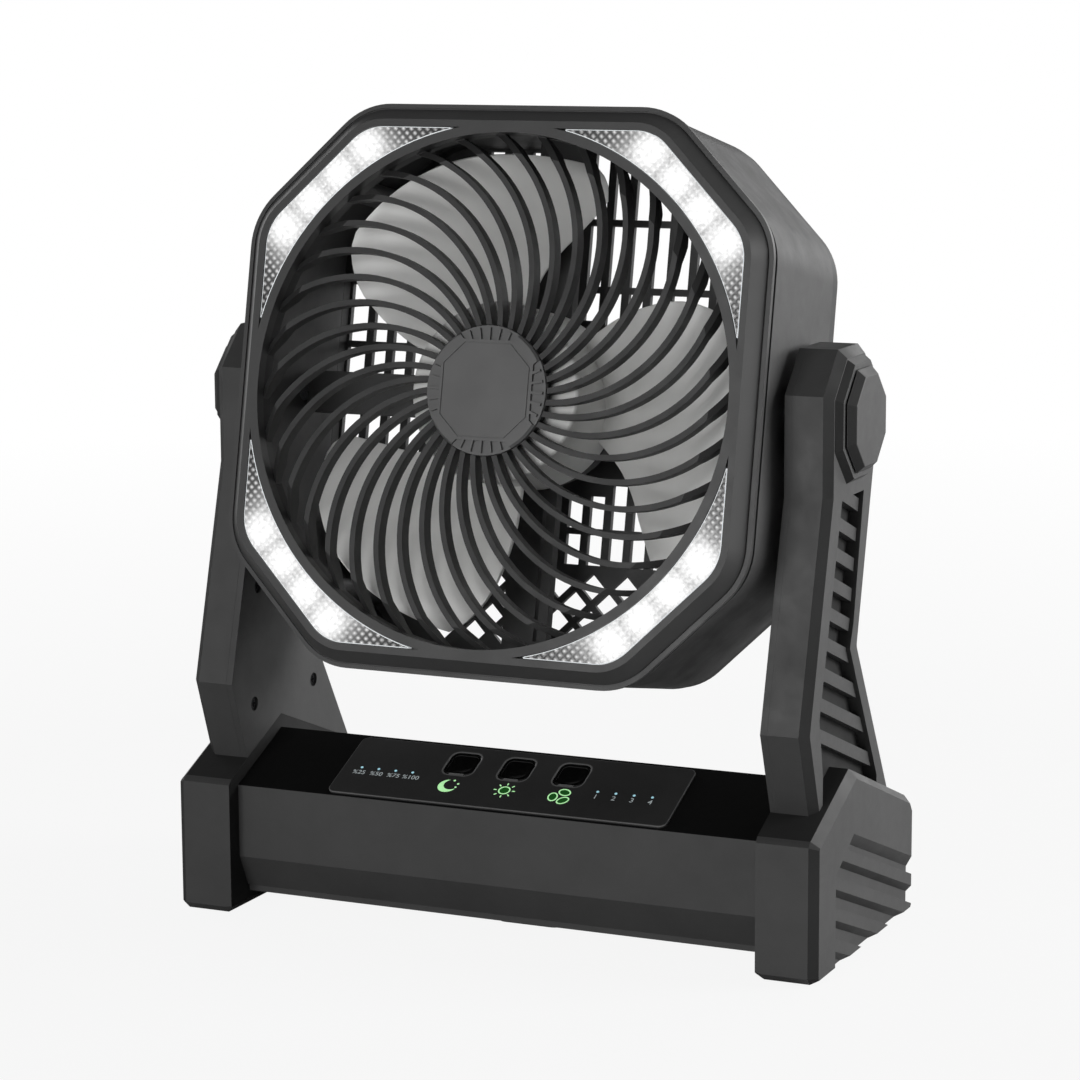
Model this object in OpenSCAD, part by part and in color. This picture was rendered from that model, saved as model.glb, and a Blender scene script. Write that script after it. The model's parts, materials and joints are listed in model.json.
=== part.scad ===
// Portable camping fan: an octagonal tilting fan head with four corner lights,
// carried between two arms on a wedge shaped battery base.
// Units are millimetres. The origin is on the floor under the middle of the base.
// X runs to the right, Y to the rear and Z up. The front of the fan faces -Y.

/* [Base] */
// Width of the base over both end caps
base_w = 250; // [230:1:270]
// Depth of the base, front to rear
base_d = 106.5; // [95:0.5:120]
// Width of one end cap
cap_w = 22.2; // [18:0.1:28]
// Height of the end cap's front face
cap_front_h = 50.5; // [44:0.5:58]
// Height of the end cap at its ridge
cap_ridge_h = 68.2; // [60:0.2:76]
// Height of the end cap's rear face
cap_rear_h = 43; // [36:0.5:50]
// Distance of the ridge behind the front face
ridge_back = 40.5; // [34:0.5:48]
// Bevel round the outer side of the end caps and arms
side_bevel = 3; // [1.5:0.1:3.5]
// Vertical width of a side groove
groove_w = 6.2; // [4:0.1:7]
// Vertical distance from one slanted groove to the next
groove_pitch = 11.1; // [9:0.1:13]
// Depth of the side grooves
groove_deep = 3.1; // [1:0.1:4]
// Slope of the side grooves and of the arm ribs, in degrees
groove_slope = 20.5; // [15:0.5:26]
// Set-back of the middle body behind the end caps' front faces
body_back = 6.8; // [3:0.1:9]
// Height of the middle body's front edge
body_front_h = 48.3; // [42:0.1:52]
// Height of the middle body at its ridge
body_ridge_h = 63; // [56:0.5:66]
// Height of the middle body's rear face
body_rear_h = 40; // [34:0.5:42]
// Height of the crease in the front face
body_crease_h = 21.2; // [16:0.1:28]
// Height of the middle body's lower edge
body_floor_h = 9; // [7:0.5:12]
// How far the front face leans in below the crease
body_lean = 6; // [3:0.5:9]
// Wall thickness of the base and head housings
wall = 2.5; // [2:0.1:3]
// How far the rubber feet stand proud
foot_proud = 0.8; // [0.5:0.1:1.5]
// Thickness of a corner foot
foot_t = 2.8; // [2:0.1:4]
// Width of a corner foot
foot_w = 12; // [9:0.5:15]
// Length of a corner foot
foot_len = 20; // [14:1:26]

/* [Control panel] */
// Width of the control panel
panel_w = 133; // [110:1:150]
// Length of the control panel up the slope
panel_len = 33.8; // [28:0.2:35]
// Thickness of the control panel
panel_t = 0.9; // [0.6:0.1:1.5]
// Side of one push button
button_side = 9.6; // [8:0.1:11]
// Distance between the push buttons
button_pitch = 21.7; // [18:0.1:26]
// Travel of a push button
button_travel = 0.7; // [0.4:0.1:0.8]
// Radius of an indicator light
led_r = 0.5; // [0.4:0.1:1.2]

/* [Arms] */
// Width of one arm, with its inner cover
arm_w = 16.9; // [14:0.1:19]
// Thickness of the arm's inner cover
arm_cover_t = 2.5; // [2:0.1:3]
// Depth of the pocket in the arm's outer face
pocket_deep = 4.8; // [3:0.1:6]
// How far the slanted ribs lie below the arm's outer face
rib_low = 1.5; // [0.5:0.1:2.5]
// Vertical width of a slanted arm rib
arm_rib_w = 4.8; // [3:0.1:6]
// Half size of the octagonal arm top
arm_top_r = 25; // [20:0.5:28]
// Height of the tilt axis above the floor
pivot_h = 189.7; // [180:0.1:200]
// Distance of the tilt axis behind the base's front face
pivot_back = 50.9; // [44:0.1:56]
// Radius of the pivot pins
pin_r = 4; // [3:0.1:5]
// Half size of the knob's octagon at its foot
knob_r = 18; // [15:0.1:20]
// Height of the knob's octagon
knob_h = 2.8; // [2:0.1:5]
// Gap between the boss and the knob
knob_gap = 0.6; // [0.4:0.1:1]

/* [Head] */
// Tilt of the head at rest, in degrees back from upright
head_tilt = 12; // [0:1:30]
// Half size of the octagonal head across its flats
head_s = 100.5; // [95:0.1:101]
// Half length of the head's straight sides
head_v = 59; // [52:0.5:64]
// Corner radius of the head
head_r = 26; // [22:0.5:30]
// Height of the front lip ahead of the tilt axis
lip_z = 41.2; // [38:0.1:44]
// Height of the raised front rim ahead of the tilt axis
rim_z = 46.5; // [44:0.1:50]
// Radius of the round front opening
opening_r = 90.2; // [86:0.1:91]
// Depth of the shadow groove behind the lip
shadow_w = 5.4; // [3:0.1:7]
// Distance of the shell's rear edge behind the tilt axis
shell_back = 24.3; // [20:0.1:28]
// Depth of the rear grille's rim
tray_d = 8; // [6:0.5:10]
// Radius of the crescent lights' inner edge
lens_r = 93.5; // [92.5:0.1:95]
// Thickness of a crescent lens
lens_t = 3.1; // [2:0.1:3.5]
// Side of one white light chip
chip_side = 3.6; // [2:0.1:5]

/* [Front grille] */
// Number of spiral ribs
rib_count = 36; // [24:2:48]
// Thickness of a spiral rib
rib_t = 2; // [1.4:0.1:2.4]
// Radius of the arc that a spiral rib follows
rib_arc = 53.7; // [48:0.1:60]
// Radius of the badge in the middle
badge_r = 22.7; // [20:0.1:25]
// Height of the badge's front ahead of the tilt axis
badge_z = 47.4; // [46:0.1:49]

/* [Impeller] */
// Number of blades
blade_count = 3; // [3:1:5]
// Radius of the impeller
blade_r = 86; // [80:0.5:87]
// Radius of the impeller's hub
hub_r = 32; // [28:0.1:34]
// Thickness of a blade
blade_t = 2; // [1.4:0.1:2.6]
// Turn of the impeller at rest, in degrees
blade_turn = -2; // [-60:1:60]
// Radius of the motor shaft
shaft_r = 2.5; // [2:0.1:3]
// Radius of the motor
motor_r = 17; // [14:0.5:22]
// Width of the motor strut
strut_w = 17.4; // [12:0.1:22]
// Distance of the motor strut behind the tilt axis
strut_back = 2.4; // [1:0.1:6]

/* [Hidden] */
$fn = 48;

// Clearances and small shared values
run_gap = 0.05;
seat_gap = 0.1;
eps = 1;

// Base
front_y = -base_d / 2;
cap_in = base_w / 2 - cap_w;
body_front_y = front_y + body_back;
ridge_y = front_y + ridge_back;
body_rear_y = -front_y - 5;
front_slope = atan((body_ridge_h - body_front_h) / (ridge_y - body_front_y));
slope_len = (ridge_y - body_front_y) / cos(front_slope);
rear_slope = atan((body_ridge_h - body_rear_h) / (body_rear_y - ridge_y));
cap_front_rise = (cap_ridge_h - cap_front_h) / ridge_back;
cap_rear_fall = (cap_ridge_h - cap_rear_h) / (base_d - ridge_back);
cap_low_bevel = 2.5;
cap_side_low = 1.5;
plate_t = wall;
plate_z = body_floor_h - plate_t;
skin_up = wall / cos(front_slope);
foot_y = base_d / 2 - 17.25;
screw_x = cap_in - 12.8;
screw_front_y = body_front_y + body_lean + 16.45;
screw_rear_y = body_rear_y - 12.25;
screw_r = 1.5;
boss_web = 3;
pad_z = foot_proud + 1.5;
pad_x = 2;
pad_deep = 44;
cell_r = 9.2;
cell_len = 65;
cell_gap = 7;
cell_pitch = 21;
battery_y = 6.5;
tray_edge = 12;
tray_h = 8;
port_w = 9;
port_h = 3.3;
port_x = -40;
port_z = 22;
groove_top = 41.2;

// Panel
panel_y0 = 1;
button_y = panel_y0 + panel_len - 9.9;
button_gap = 0.2;
led_y = button_y - 8.4;
led_edge_l = 7.5;
led_gap_l = 11.8;
led_edge_r = 10.5;
led_gap_r = 8.5;
led_l = [-panel_w / 2 + led_edge_l, -button_pitch - button_side / 2 - led_gap_l];
led_r_row = [button_pitch + button_side / 2 + led_gap_r, panel_w / 2 - led_edge_r];
board_w = panel_w - 13;
board_y = panel_y0 + 3;
board_len = panel_len - 4.3;
board_z = -7;
board_t = 1.6;
button_top = 0.3;
switch_h = -board_z - wall - 2.5 - button_travel - seat_gap;

// Arms
arm_in = cap_in;
arm_out = arm_in + arm_w;
pivot_y = front_y + pivot_back;
arm_floor_x = arm_out - pocket_deep;
boss_r = arm_top_r - side_bevel - 0.5;
boss_h = 2.5;
knob_bevel = 2.6;
knob_stub = 6;
stub_gap = 0.5;
oct = tan(22.5);
arm_bend = [front_y + 3.8, cap_front_h + 35.9];
arm_crook = [pivot_y - arm_top_r, pivot_h - 24.4];
arm_waist = [pivot_y + 6.8, cap_ridge_h + 41.3];
arm_foot_front = [front_y + 14.4, roof_z(front_y + 14.4)];
arm_foot_rear = [-front_y - 11.9, roof_z(-front_y - 11.9)];
arm_screws = [[24.9, pivot_h - 70.2], [20.4, 76], [base_d - 40, 76]];
collar_t = 1.9;

// Head, as offsets from the lip's outline
shell_g = -1.3;
neck_g = -3;
shell_in_g = shell_g - wall - 0.9;
tray_g = -1.8;
rim_g = -6.2;
spigot_g = shell_in_g - 0.2;
bezel_in_g = spigot_g - 2.1;
lens_g = -8.7;
head_diag = (head_s + head_v) * cos(45);
glow_in = 1.3;
shell_front = lip_z - 2 - shadow_w;
spigot_z = shell_front - 4;
plate_back = rim_z - 8.5;
lens_seat = rim_z - 3.5;
inner_s = head_s + shell_in_g;
grille_t = 2.4;
post_d = head_diag - 9.58;
post_r = 4.4;
post_low = tray_d - grille_t;
post_top = 20;
post_web = 7;
chip_d = head_diag - 14;
chip_step = 14;

// Grille
ring_seat = rim_z - 4.7;
rib_x = 12.9;
rib_y = 53.6;
ring_r = opening_r + 0.1;
ring_out = opening_r + 2.4;
grille_back = rim_z - 5.9;
grille_front = rim_z - 0.5;
ring_back = rim_z - 10;
badge_seat = badge_z - 2.8;
badge_in = badge_r - 5.1;
badge_rib = 0.9;
badge_deep = 1;
badge_plate_r = badge_r - 6.5;

// Impeller and motor
hub_front = grille_back - 1;
shaft_back = 10;
hub_back = 4;
sheet_r = 220;
sheet_x = 57;
sheet_low = 5.5;
sheet_turn = 26;
blade_top = hub_front - 1.6;
motor_front = 24;
strut_t = 4.6;
slot_end = 9.8;

// Rear grille
slot_w = 5.6;
slot_pitch = 8.6;
bar_w = 2.4;
bars = [-58, -44.5, -20.5, 20.5, 44.5, 69.3, head_s];
tray_in = inner_s - 1;
tray_diag = head_s + head_v - 23;
slot_cols = floor((tray_in - slot_w / 2) / slot_pitch + 0.5);
diamond_pitch = 9.4;

// ---------- helpers ----------

// Turns a Y-Z outline into a plate that runs along X.
module across(x0, x1) {
  translate([x0, 0, 0])
    rotate([90, 0, 90])
      linear_extrude(x1 - x0)
        children();
}

// Cuts a bevel of size c along the edge from p to q on the plate's outer side.
module bevel_cut(p, q, x_out, c, before, after) {
  edge = norm(q - p);
  translate([x_out, p[0], p[1]])
    rotate([atan2(q[1] - p[1], q[0] - p[0]), 0, 0])
      translate([0, edge + after, 0])
        rotate([90, 0, 0])
          linear_extrude(edge + before + after)
            polygon([[-c - eps, eps], [eps, -c - eps], [eps, eps]]);
}

// Cuts the bevel round an inward corner.
module bevel_corner(p, x_out, c) {
  translate([x_out - c, p[0], p[1]])
    rotate([0, 90, 0])
      cylinder(h = c + eps, r1 = 0, r2 = c + eps);
}

// Mirrors a right-hand piece to the left.
module left_hand() {
  mirror([1, 0, 0])
    children();
}

// Places children on the sloping front of the middle body, Z outward.
module on_slope() {
  translate([0, body_front_y, body_front_h])
    rotate([front_slope, 0, 0])
      children();
}

// Places children in the head, Z to the front along its axis.
module in_head() {
  translate([0, pivot_y, pivot_h])
    rotate([90 - head_tilt, 0, 0])
      children();
}

// Rounded rectangle, centred.
module soft_square(w, h, r) {
  square([w - 2 * r, h], center = true);
  square([w, h - 2 * r], center = true);
  for (x = [-1, 1], y = [-1, 1])
    translate([x * (w / 2 - r), y * (h / 2 - r)])
      circle(r, $fn = 24);
}

// The head's octagon with round corners, moved outward by g.
module oct_shape(g) {
  a = head_s - head_r;
  b = head_v - oct * head_r;
  r = head_r + g;
  c = r * cos(45);
  polygon([
    [a + r, -b], [a + r, b], [a + c, b + c], [b + c, a + c],
    [b, a + r], [-b, a + r], [-b - c, a + c], [-a - c, b + c],
    [-a - r, b], [-a - r, -b], [-a - c, -b - c], [-b - c, -a - c],
    [-b, -a - r], [b, -a - r], [b + c, -a - c], [a + c, -b - c]
  ]);
  for (x = [-1, 1], y = [-1, 1]) {
    translate([x * a, y * b])
      circle(r);
    translate([x * b, y * a])
      circle(r);
  }
}

// One straight layer of the head between two heights.
module oct_layer(g, z0, z1) {
  translate([0, 0, z0])
    linear_extrude(z1 - z0)
      oct_shape(g);
}

// One tapering layer of the head, from offset g0 to offset g1.
module oct_taper(g0, g1, z0, z1) {
  a = head_s - head_r;
  b = head_v - oct * head_r;
  h = z1 - z0;
  half = (a - b) * cos(45);
  d = (a + b) * cos(45);
  translate([0, 0, z0])
    linear_extrude(h)
      polygon([[a, -b], [a, b], [b, a], [-b, a], [-a, b], [-a, -b], [-b, -a], [b, -a]]);
  for (x = [-1, 1], y = [-1, 1]) {
    translate([x * a, y * b, z0])
      cylinder(h = h, r1 = head_r + g0, r2 = head_r + g1);
    translate([x * b, y * a, z0])
      cylinder(h = h, r1 = head_r + g0, r2 = head_r + g1);
  }
  for (k = [0:3]) {
    rotate([0, 0, 90 * k])
      taper_side(a, b, head_r + g0, head_r + g1, z0, z1);
    rotate([0, 0, 45 + 90 * k])
      taper_side(d, half, head_r + g0, head_r + g1, z0, z1);
  }
}

// One side of a tapering layer.
module taper_side(d, half, r0, r1, z0, z1) {
  translate([0, half, 0])
    rotate([90, 0, 0])
      linear_extrude(2 * half)
        polygon([[d - eps, z0], [d + r0, z0], [d + r1, z1], [d - eps, z1]]);
}

// ---------- base ----------

function roof_z(y) = y < ridge_y
  ? cap_front_h + (y - front_y) * cap_front_rise
  : cap_ridge_h - (y - ridge_y) * cap_rear_fall;

// One slanted groove: its upper wall slopes in over the given drop.
module groove(z, drop) {
  len = base_d + 30;
  translate([0, front_y + 10, z])
    rotate([-groove_slope, 0, 0])
      translate([0, len, 0])
        rotate([90, 0, 0])
          linear_extrude(len)
            polygon([
              [eps, drop * eps / groove_deep], [-groove_deep, -drop],
              [-groove_deep, -groove_w], [eps, -groove_w]
            ]);
}

module groove_field() {
  intersection() {
    union() {
      groove(groove_top + groove_pitch + 4, 3.4);
      for (k = [0:3])
        groove(groove_top - k * groove_pitch + 4, 2);
    }
    across(-groove_deep - eps, 2 * eps)
      polygon([
        [front_y + 20, -2], [front_y + 20, 35], [front_y + 44, 48.7],
        [-front_y + 9, 48.7], [-front_y + 9, -2]
      ]);
  }
}

// The end cap's outline from the side, with its lower edge at the given height.
module cap_outline(low, cut) {
  nose = 2;
  polygon([
    [front_y, low + cut], [front_y, cap_front_h - 1], [front_y + nose, roof_z(front_y + nose)],
    [ridge_y, cap_ridge_h], [-front_y - 3.5, roof_z(-front_y - 3.5)],
    [-front_y, cap_rear_h - 3.5], [-front_y, low + cut], [-front_y - cut, low], [front_y + cut, low]
  ]);
}

module end_cap() {
  x_out = base_w / 2;
  difference() {
    hull() {
      across(cap_in, cap_in + 1)
        cap_outline(foot_proud + cap_low_bevel, 0.5);
      across(cap_in + cap_low_bevel, x_out - side_bevel)
        cap_outline(foot_proud, cap_low_bevel);
      across(x_out - side_bevel, x_out)
        offset(delta = -side_bevel)
          cap_outline(foot_proud - side_bevel + cap_side_low, cap_low_bevel);
    }
    translate([x_out, 0, 0])
      groove_field();
    for (y = [-1, 1])
      foot_block(y, seat_gap, eps);
  }
}

module foot_block(y, gap, down) {
  x = cap_in + cap_w / 2 - 1;
  translate([x - foot_w / 2 - gap, y * foot_y - foot_len / 2 - gap, -down])
    cube([foot_w + 2 * gap, foot_len + 2 * gap, foot_t + down]);
}

module corner_foot(y) {
  foot_block(y, 0, 0);
}

module body_outline() {
  polygon([
    [body_front_y, body_front_h], [ridge_y, body_ridge_h], [body_rear_y, body_rear_h],
    [body_rear_y, body_floor_h], [body_front_y + body_lean, body_floor_h],
    [body_front_y, body_crease_h]
  ]);
}

module body_hollow() {
  polygon([
    [body_front_y + wall, body_front_h + wall * tan(front_slope) - skin_up],
    [ridge_y, body_ridge_h - skin_up],
    [body_rear_y - wall, body_rear_h + wall * tan(rear_slope) - skin_up],
    [body_rear_y - wall, body_floor_h - eps],
    [body_front_y + body_lean + wall, body_floor_h - eps],
    [body_front_y + body_lean + wall, body_floor_h + 2],
    [body_front_y + wall, body_crease_h + 1]
  ]);
}

module base_screw_spots() {
  for (x = [-screw_x, screw_x], y = [screw_front_y, screw_rear_y])
    translate([x, y, 0])
      children();
}

// Row of four from x[0] to x[1].
module dots(x) {
  for (k = [0:3])
    translate([x[0] + k * (x[1] - x[0]) / 3, led_y])
      children();
}

module base_shell() {
  color("#3b3b3b") {
    difference() {
      across(-cap_in, cap_in)
        body_outline();
      across(-cap_in + wall, cap_in - wall)
        body_hollow();
      on_slope()
        for (k = [-1:1])
          translate([k * button_pitch, button_y, -wall - eps])
            linear_extrude(wall + 2 * eps)
              soft_square(button_side + 2 * button_gap, button_side + 2 * button_gap, 2.2);
      translate([port_x - port_w / 2 - 1.6, body_rear_y - 1.2, port_z - port_h / 2 - 1.6])
        cube([port_w + 3.2, 1.2 + eps, port_h + 3.2]);
      translate([port_x - port_w / 2 - seat_gap, body_rear_y - wall - eps, port_z - port_h / 2 - seat_gap])
        cube([port_w + 2 * seat_gap, wall + 2 * eps, port_h + 2 * seat_gap]);
    }
    on_slope()
      for (x = [-1, 1], y = [board_y + 3, board_y + board_len - 2.5])
        translate([x * (board_w / 2 - 5), y, board_z])
          cylinder(h = -board_z - wall + 0.5, r = 2.4, $fn = 24);
    difference() {
      base_screw_spots()
        translate([0, 0, body_floor_h])
          cylinder(h = 33, r = 4, $fn = 32);
      base_screw_spots()
        translate([0, 0, body_floor_h - eps])
          cylinder(h = 11 + eps, r = screw_r + run_gap, $fn = 24);
      across(-cap_in, cap_in)
        polygon([[ridge_y, 80], [body_front_y, 80], [body_front_y, body_front_h], [ridge_y, body_ridge_h],
          [body_rear_y, body_rear_h], [body_rear_y, 80]]);
    }
    web = cap_in - wall - screw_x - boss_web + 0.7;
    for (x = [-1, 1], y = [screw_front_y, screw_rear_y])
      translate([x * (screw_x + boss_web + web / 2) - web / 2, y - 1, body_floor_h + 2])
        cube([web, 2, 28]);
  }
}

module base_plate() {
  color("#2c2c2c")
    difference() {
      union() {
        translate([-cap_in, body_front_y + body_lean + 1, plate_z])
          cube([2 * cap_in, body_rear_y - body_front_y - body_lean - 1, plate_t]);
        translate([0, pad_deep / 2, 0])
          rotate([90, 0, 0])
            linear_extrude(pad_deep)
              polygon([
                [pad_x - 28, plate_z + eps], [pad_x - 25, pad_z], [pad_x + 15, pad_z],
                [pad_x + 36, pad_z + 2.7], [pad_x + 36, plate_z + eps]
              ]);
        translate([pad_x + 44, -pad_deep / 2 + 4, pad_z + 2.1])
          cube([30, pad_deep - 8, plate_z - pad_z - 2.1 + eps]);
      }
      base_screw_spots() {
        translate([0, 0, plate_z - eps])
          cylinder(h = 1.4 + eps, r = 3.2, $fn = 32);
        translate([0, 0, plate_z])
          cylinder(h = plate_t + eps, r = screw_r + run_gap, $fn = 24);
      }
    }
}

module base_screws() {
  color("#8a8d90")
    base_screw_spots() {
      difference() {
        translate([0, 0, plate_z + 0.1])
          cylinder(h = 1.3, r = 3, $fn = 32);
        for (a = [0, 90])
          rotate([0, 0, a])
            translate([0, 0, plate_z + 0.1])
              cube([3.4, 0.7, 1.2], center = true);
      }
      translate([0, 0, plate_z + 1.3])
        cylinder(h = 12, r = screw_r, $fn = 24);
    }
}

module foot_middle() {
  color("#161616")
    translate([pad_x, 0, 0])
      linear_extrude(pad_z)
        soft_square(26, pad_deep - 4, 4);
}

module panel_shape() {
  translate([0, panel_y0 + panel_len / 2])
    soft_square(panel_w, panel_len, 3);
}

module control_panel() {
  color("#262626")
    on_slope()
      difference() {
        linear_extrude(panel_t)
          panel_shape();
        for (k = [-1:1])
          translate([k * button_pitch, button_y, -eps])
            linear_extrude(panel_t + 2 * eps)
              soft_square(button_side + 2 * button_gap, button_side + 2 * button_gap, 2.2);
        for (k = [-1:1])
          translate([k * button_pitch, button_y, panel_t - 0.4])
            linear_extrude(1)
              soft_square(button_side + 1.8, button_side + 1.8, 2.9);
        translate([0, 0, -eps])
          linear_extrude(panel_t + 2 * eps) {
            dots(led_l)
              circle(led_r + run_gap, $fn = 20);
            dots(led_r_row)
              circle(led_r + run_gap, $fn = 20);
          }
      }
}

module led_dots(x) {
  on_slope()
    linear_extrude(panel_t + 0.1)
      dots(x)
        circle(led_r, $fn = 20);
}

module push_button(k) {
  on_slope()
    translate([k * button_pitch, button_y, 0])
      difference() {
        union() {
          translate([0, 0, -wall - 2.5])
            linear_extrude(wall + 2.5 + button_top)
              soft_square(button_side, button_side, 2);
          translate([0, 0, -wall - 1.5])
            linear_extrude(1.5 - run_gap)
              soft_square(button_side + 2.4, button_side + 2.4, 2);
        }
        translate([0, 0, 24 + button_top - 0.5])
          sphere(r = 24, $fn = 96);
      }
}

module control_board() {
  color("#1f5a35")
    on_slope() {
      translate([-board_w / 2, board_y, board_z - board_t])
        cube([board_w, board_len, board_t]);
      for (k = [-1:1])
        translate([k * button_pitch - 3, button_y - 3, board_z - 0.01])
          cube([6, 6, switch_h + 0.01]);
    }
}

module cell_spots() {
  for (x = [-1, 1], y = [-1, 1])
    translate([x * (cell_len + cell_gap) / 2 - cell_len / 2, battery_y + y * cell_pitch / 2, body_floor_h + 1.9 + cell_r])
      rotate([0, 90, 0])
        children();
}

module battery_tray() {
  color("#222222")
    difference() {
      translate([-cell_len - cell_gap, battery_y - cell_pitch / 2 - tray_edge, body_floor_h])
        cube([2 * (cell_len + cell_gap), cell_pitch + 2 * tray_edge, tray_h]);
      cell_spots()
        translate([0, 0, -0.2])
          cylinder(h = cell_len + 0.4, r = cell_r + seat_gap);
    }
}

module battery_cells() {
  color("#2f6f9f")
    cell_spots()
      cylinder(h = cell_len, r = cell_r);
}

module charge_port() {
  color("#b8babd")
    translate([port_x, body_rear_y - 8.2, port_z])
      rotate([-90, 0, 0])
        difference() {
          linear_extrude(7.4)
            soft_square(port_w, port_h, 1.6);
          translate([0, 0, 1])
            linear_extrude(7.4)
              difference() {
                soft_square(port_w - 0.6, port_h - 0.6, 1.3);
                square([port_w - 2.6, 0.7], center = true);
              }
        }
}

// ---------- arms ----------

arm_p = [
  arm_foot_front, arm_bend, arm_crook,
  [pivot_y - arm_top_r, pivot_h + oct * arm_top_r],
  [pivot_y - oct * arm_top_r, pivot_h + arm_top_r],
  [pivot_y + oct * arm_top_r, pivot_h + arm_top_r],
  [pivot_y + arm_top_r, pivot_h + oct * arm_top_r],
  [pivot_y + arm_top_r, pivot_h - oct * arm_top_r],
  arm_waist, arm_foot_rear, [ridge_y, cap_ridge_h]
];

module arm_pocket() {
  polygon([
    [pivot_y - 12.9, pivot_h - 26.2], [pivot_y + 9.6, pivot_h - 26.2], [pivot_y + 0.1, arm_waist[1] + 8.5],
    [arm_waist[0] - 10.2, arm_waist[1]], [-front_y - 28.5, 57.6], [-front_y - 28.5, 40],
    [arm_bend[0] + 16.7, 40], [arm_bend[0] + 16.7, arm_bend[1] - 16.4], [arm_bend[0] + 12.7, arm_bend[1] + 3.6]
  ]);
}

module arm_ribs() {
  t = tan(groove_slope);
  for (k = [0:8]) {
    z = 78 + k * groove_pitch;
    polygon([
      [front_y + 10, z + 20 * t], [front_y + 90, z - 60 * t],
      [front_y + 90, z - 60 * t + arm_rib_w], [front_y + 10, z + 20 * t + arm_rib_w]
    ]);
  }
}

module arm_body() {
  difference() {
    across(arm_in + arm_cover_t, arm_out)
      polygon(arm_p);
    for (k = [0:8])
      bevel_cut(arm_p[k], arm_p[k + 1], arm_out, side_bevel,
        k == 2 || k == 8 ? 0 : 4, k == 1 || k == 7 ? 0 : 4);
    bevel_corner(arm_p[2], arm_out, side_bevel);
    bevel_corner(arm_p[8], arm_out, side_bevel);
    across(arm_floor_x, arm_out + eps)
      difference() {
        arm_pocket();
        arm_ribs();
      }
    across(arm_out - rib_low, arm_out + eps)
      arm_pocket();
    translate([arm_in, pivot_y, pivot_h])
      rotate([0, 90, 0])
        cylinder(h = arm_w + 5, r = pin_r + run_gap);
    for (s = arm_screws)
      translate([arm_in, front_y + s[0], s[1]])
        rotate([0, 90, 0])
          cylinder(h = 9, r = 1.3 + run_gap, $fn = 24);
  }
  difference() {
    translate([arm_out - 0.01, pivot_y, pivot_h])
      rotate([0, 90, 0])
        rotate([0, 0, 22.5])
          cylinder(h = boss_h + 0.01, r1 = boss_r / cos(22.5), r2 = (boss_r - 1.8) / cos(22.5), $fn = 8);
    translate([arm_in, pivot_y, pivot_h])
      rotate([0, 90, 0])
        cylinder(h = arm_w + 5, r = pin_r + run_gap);
  }
}

module arm_cover() {
  difference() {
    across(arm_in, arm_in + arm_cover_t)
      polygon(arm_p);
    translate([arm_in - eps, pivot_y, pivot_h])
      rotate([0, 90, 0])
        cylinder(h = arm_cover_t + 2 * eps, r = pin_r + run_gap);
    for (s = arm_screws)
      translate([arm_in - eps, front_y + s[0], s[1]])
        rotate([0, 90, 0]) {
          cylinder(h = 1.6 + eps, r = 2.6, $fn = 32);
          cylinder(h = arm_cover_t + 2 * eps, r = 1.3 + run_gap, $fn = 24);
        }
  }
}

module arm_screw_set() {
  for (s = arm_screws)
    translate([arm_in + 0.6, front_y + s[0], s[1]])
      rotate([0, 90, 0]) {
        difference() {
          cylinder(h = 1, r = 2.3, $fn = 32);
          for (a = [0, 90])
            rotate([0, 0, a])
              cube([2.6, 0.6, 1], center = true);
        }
        translate([0, 0, 0.9])
          cylinder(h = 7, r = 1.3, $fn = 24);
      }
}

module knob() {
  translate([arm_out + boss_h, pivot_y, pivot_h])
    rotate([0, 90, 0]) {
      translate([0, 0, -knob_stub])
        cylinder(h = knob_stub + knob_gap + eps, r = pin_r);
      translate([0, 0, seat_gap])
        cylinder(h = knob_gap, r = knob_r / 2);
      translate([0, 0, knob_gap])
        rotate([0, 0, 22.5])
          cylinder(h = knob_h, r1 = knob_r / cos(22.5), r2 = (knob_r - knob_bevel) / cos(22.5), $fn = 8);
    }
}

module pivot_pin() {
  translate([0, pivot_y, pivot_h])
    rotate([0, 90, 0]) {
      translate([0, 0, inner_s])
        cylinder(h = arm_out + boss_h - knob_stub - stub_gap - inner_s, r = pin_r);
      translate([0, 0, head_s + shell_g])
        cylinder(h = collar_t, r = 11);
    }
}

module washer() {
  x0 = head_s + shell_g + collar_t;
  translate([x0, pivot_y, pivot_h])
    rotate([0, 90, 0])
      difference() {
        cylinder(h = arm_in - x0 - seat_gap, r = 13);
        translate([0, 0, -eps])
          cylinder(h = arm_in - x0 + 2 * eps, r = pin_r + run_gap);
      }
}

// ---------- head ----------

module post_spots() {
  for (k = [0:3])
    rotate([0, 0, 45 + 90 * k])
      translate([post_d, 0, 0])
        children();
}

module head_shell() {
  color("#454545")
    in_head()
      difference() {
        union() {
          difference() {
            oct_layer(shell_g, -shell_back, shell_front);
            oct_layer(shell_in_g, -shell_back - eps, shell_front + eps);
          }
          post_spots() {
            translate([0, 0, -shell_back - post_low])
              cylinder(h = shell_back + post_low + post_top, r = post_r, $fn = 32);
            translate([0, -1.5, -shell_back + 2])
              cube([post_web, 3, shell_back + post_top - 4]);
          }
        }
        post_spots()
          translate([0, 0, -shell_back - post_low - eps])
            cylinder(h = 12, r = screw_r + run_gap, $fn = 24);
        rotate([0, 90, 0])
          cylinder(h = 3 * head_s, r = pin_r + run_gap, center = true);
      }
}

module crescent(g, r, reach) {
  for (k = [0:3])
    rotate([0, 0, 90 * k])
      crescent_one(g, r, reach);
}

module crescent_one(g, r, reach) {
  intersection() {
    difference() {
      oct_shape(g);
      circle(r, $fn = 120);
    }
    translate([reach, reach])
      square(head_s);
  }
}

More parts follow.
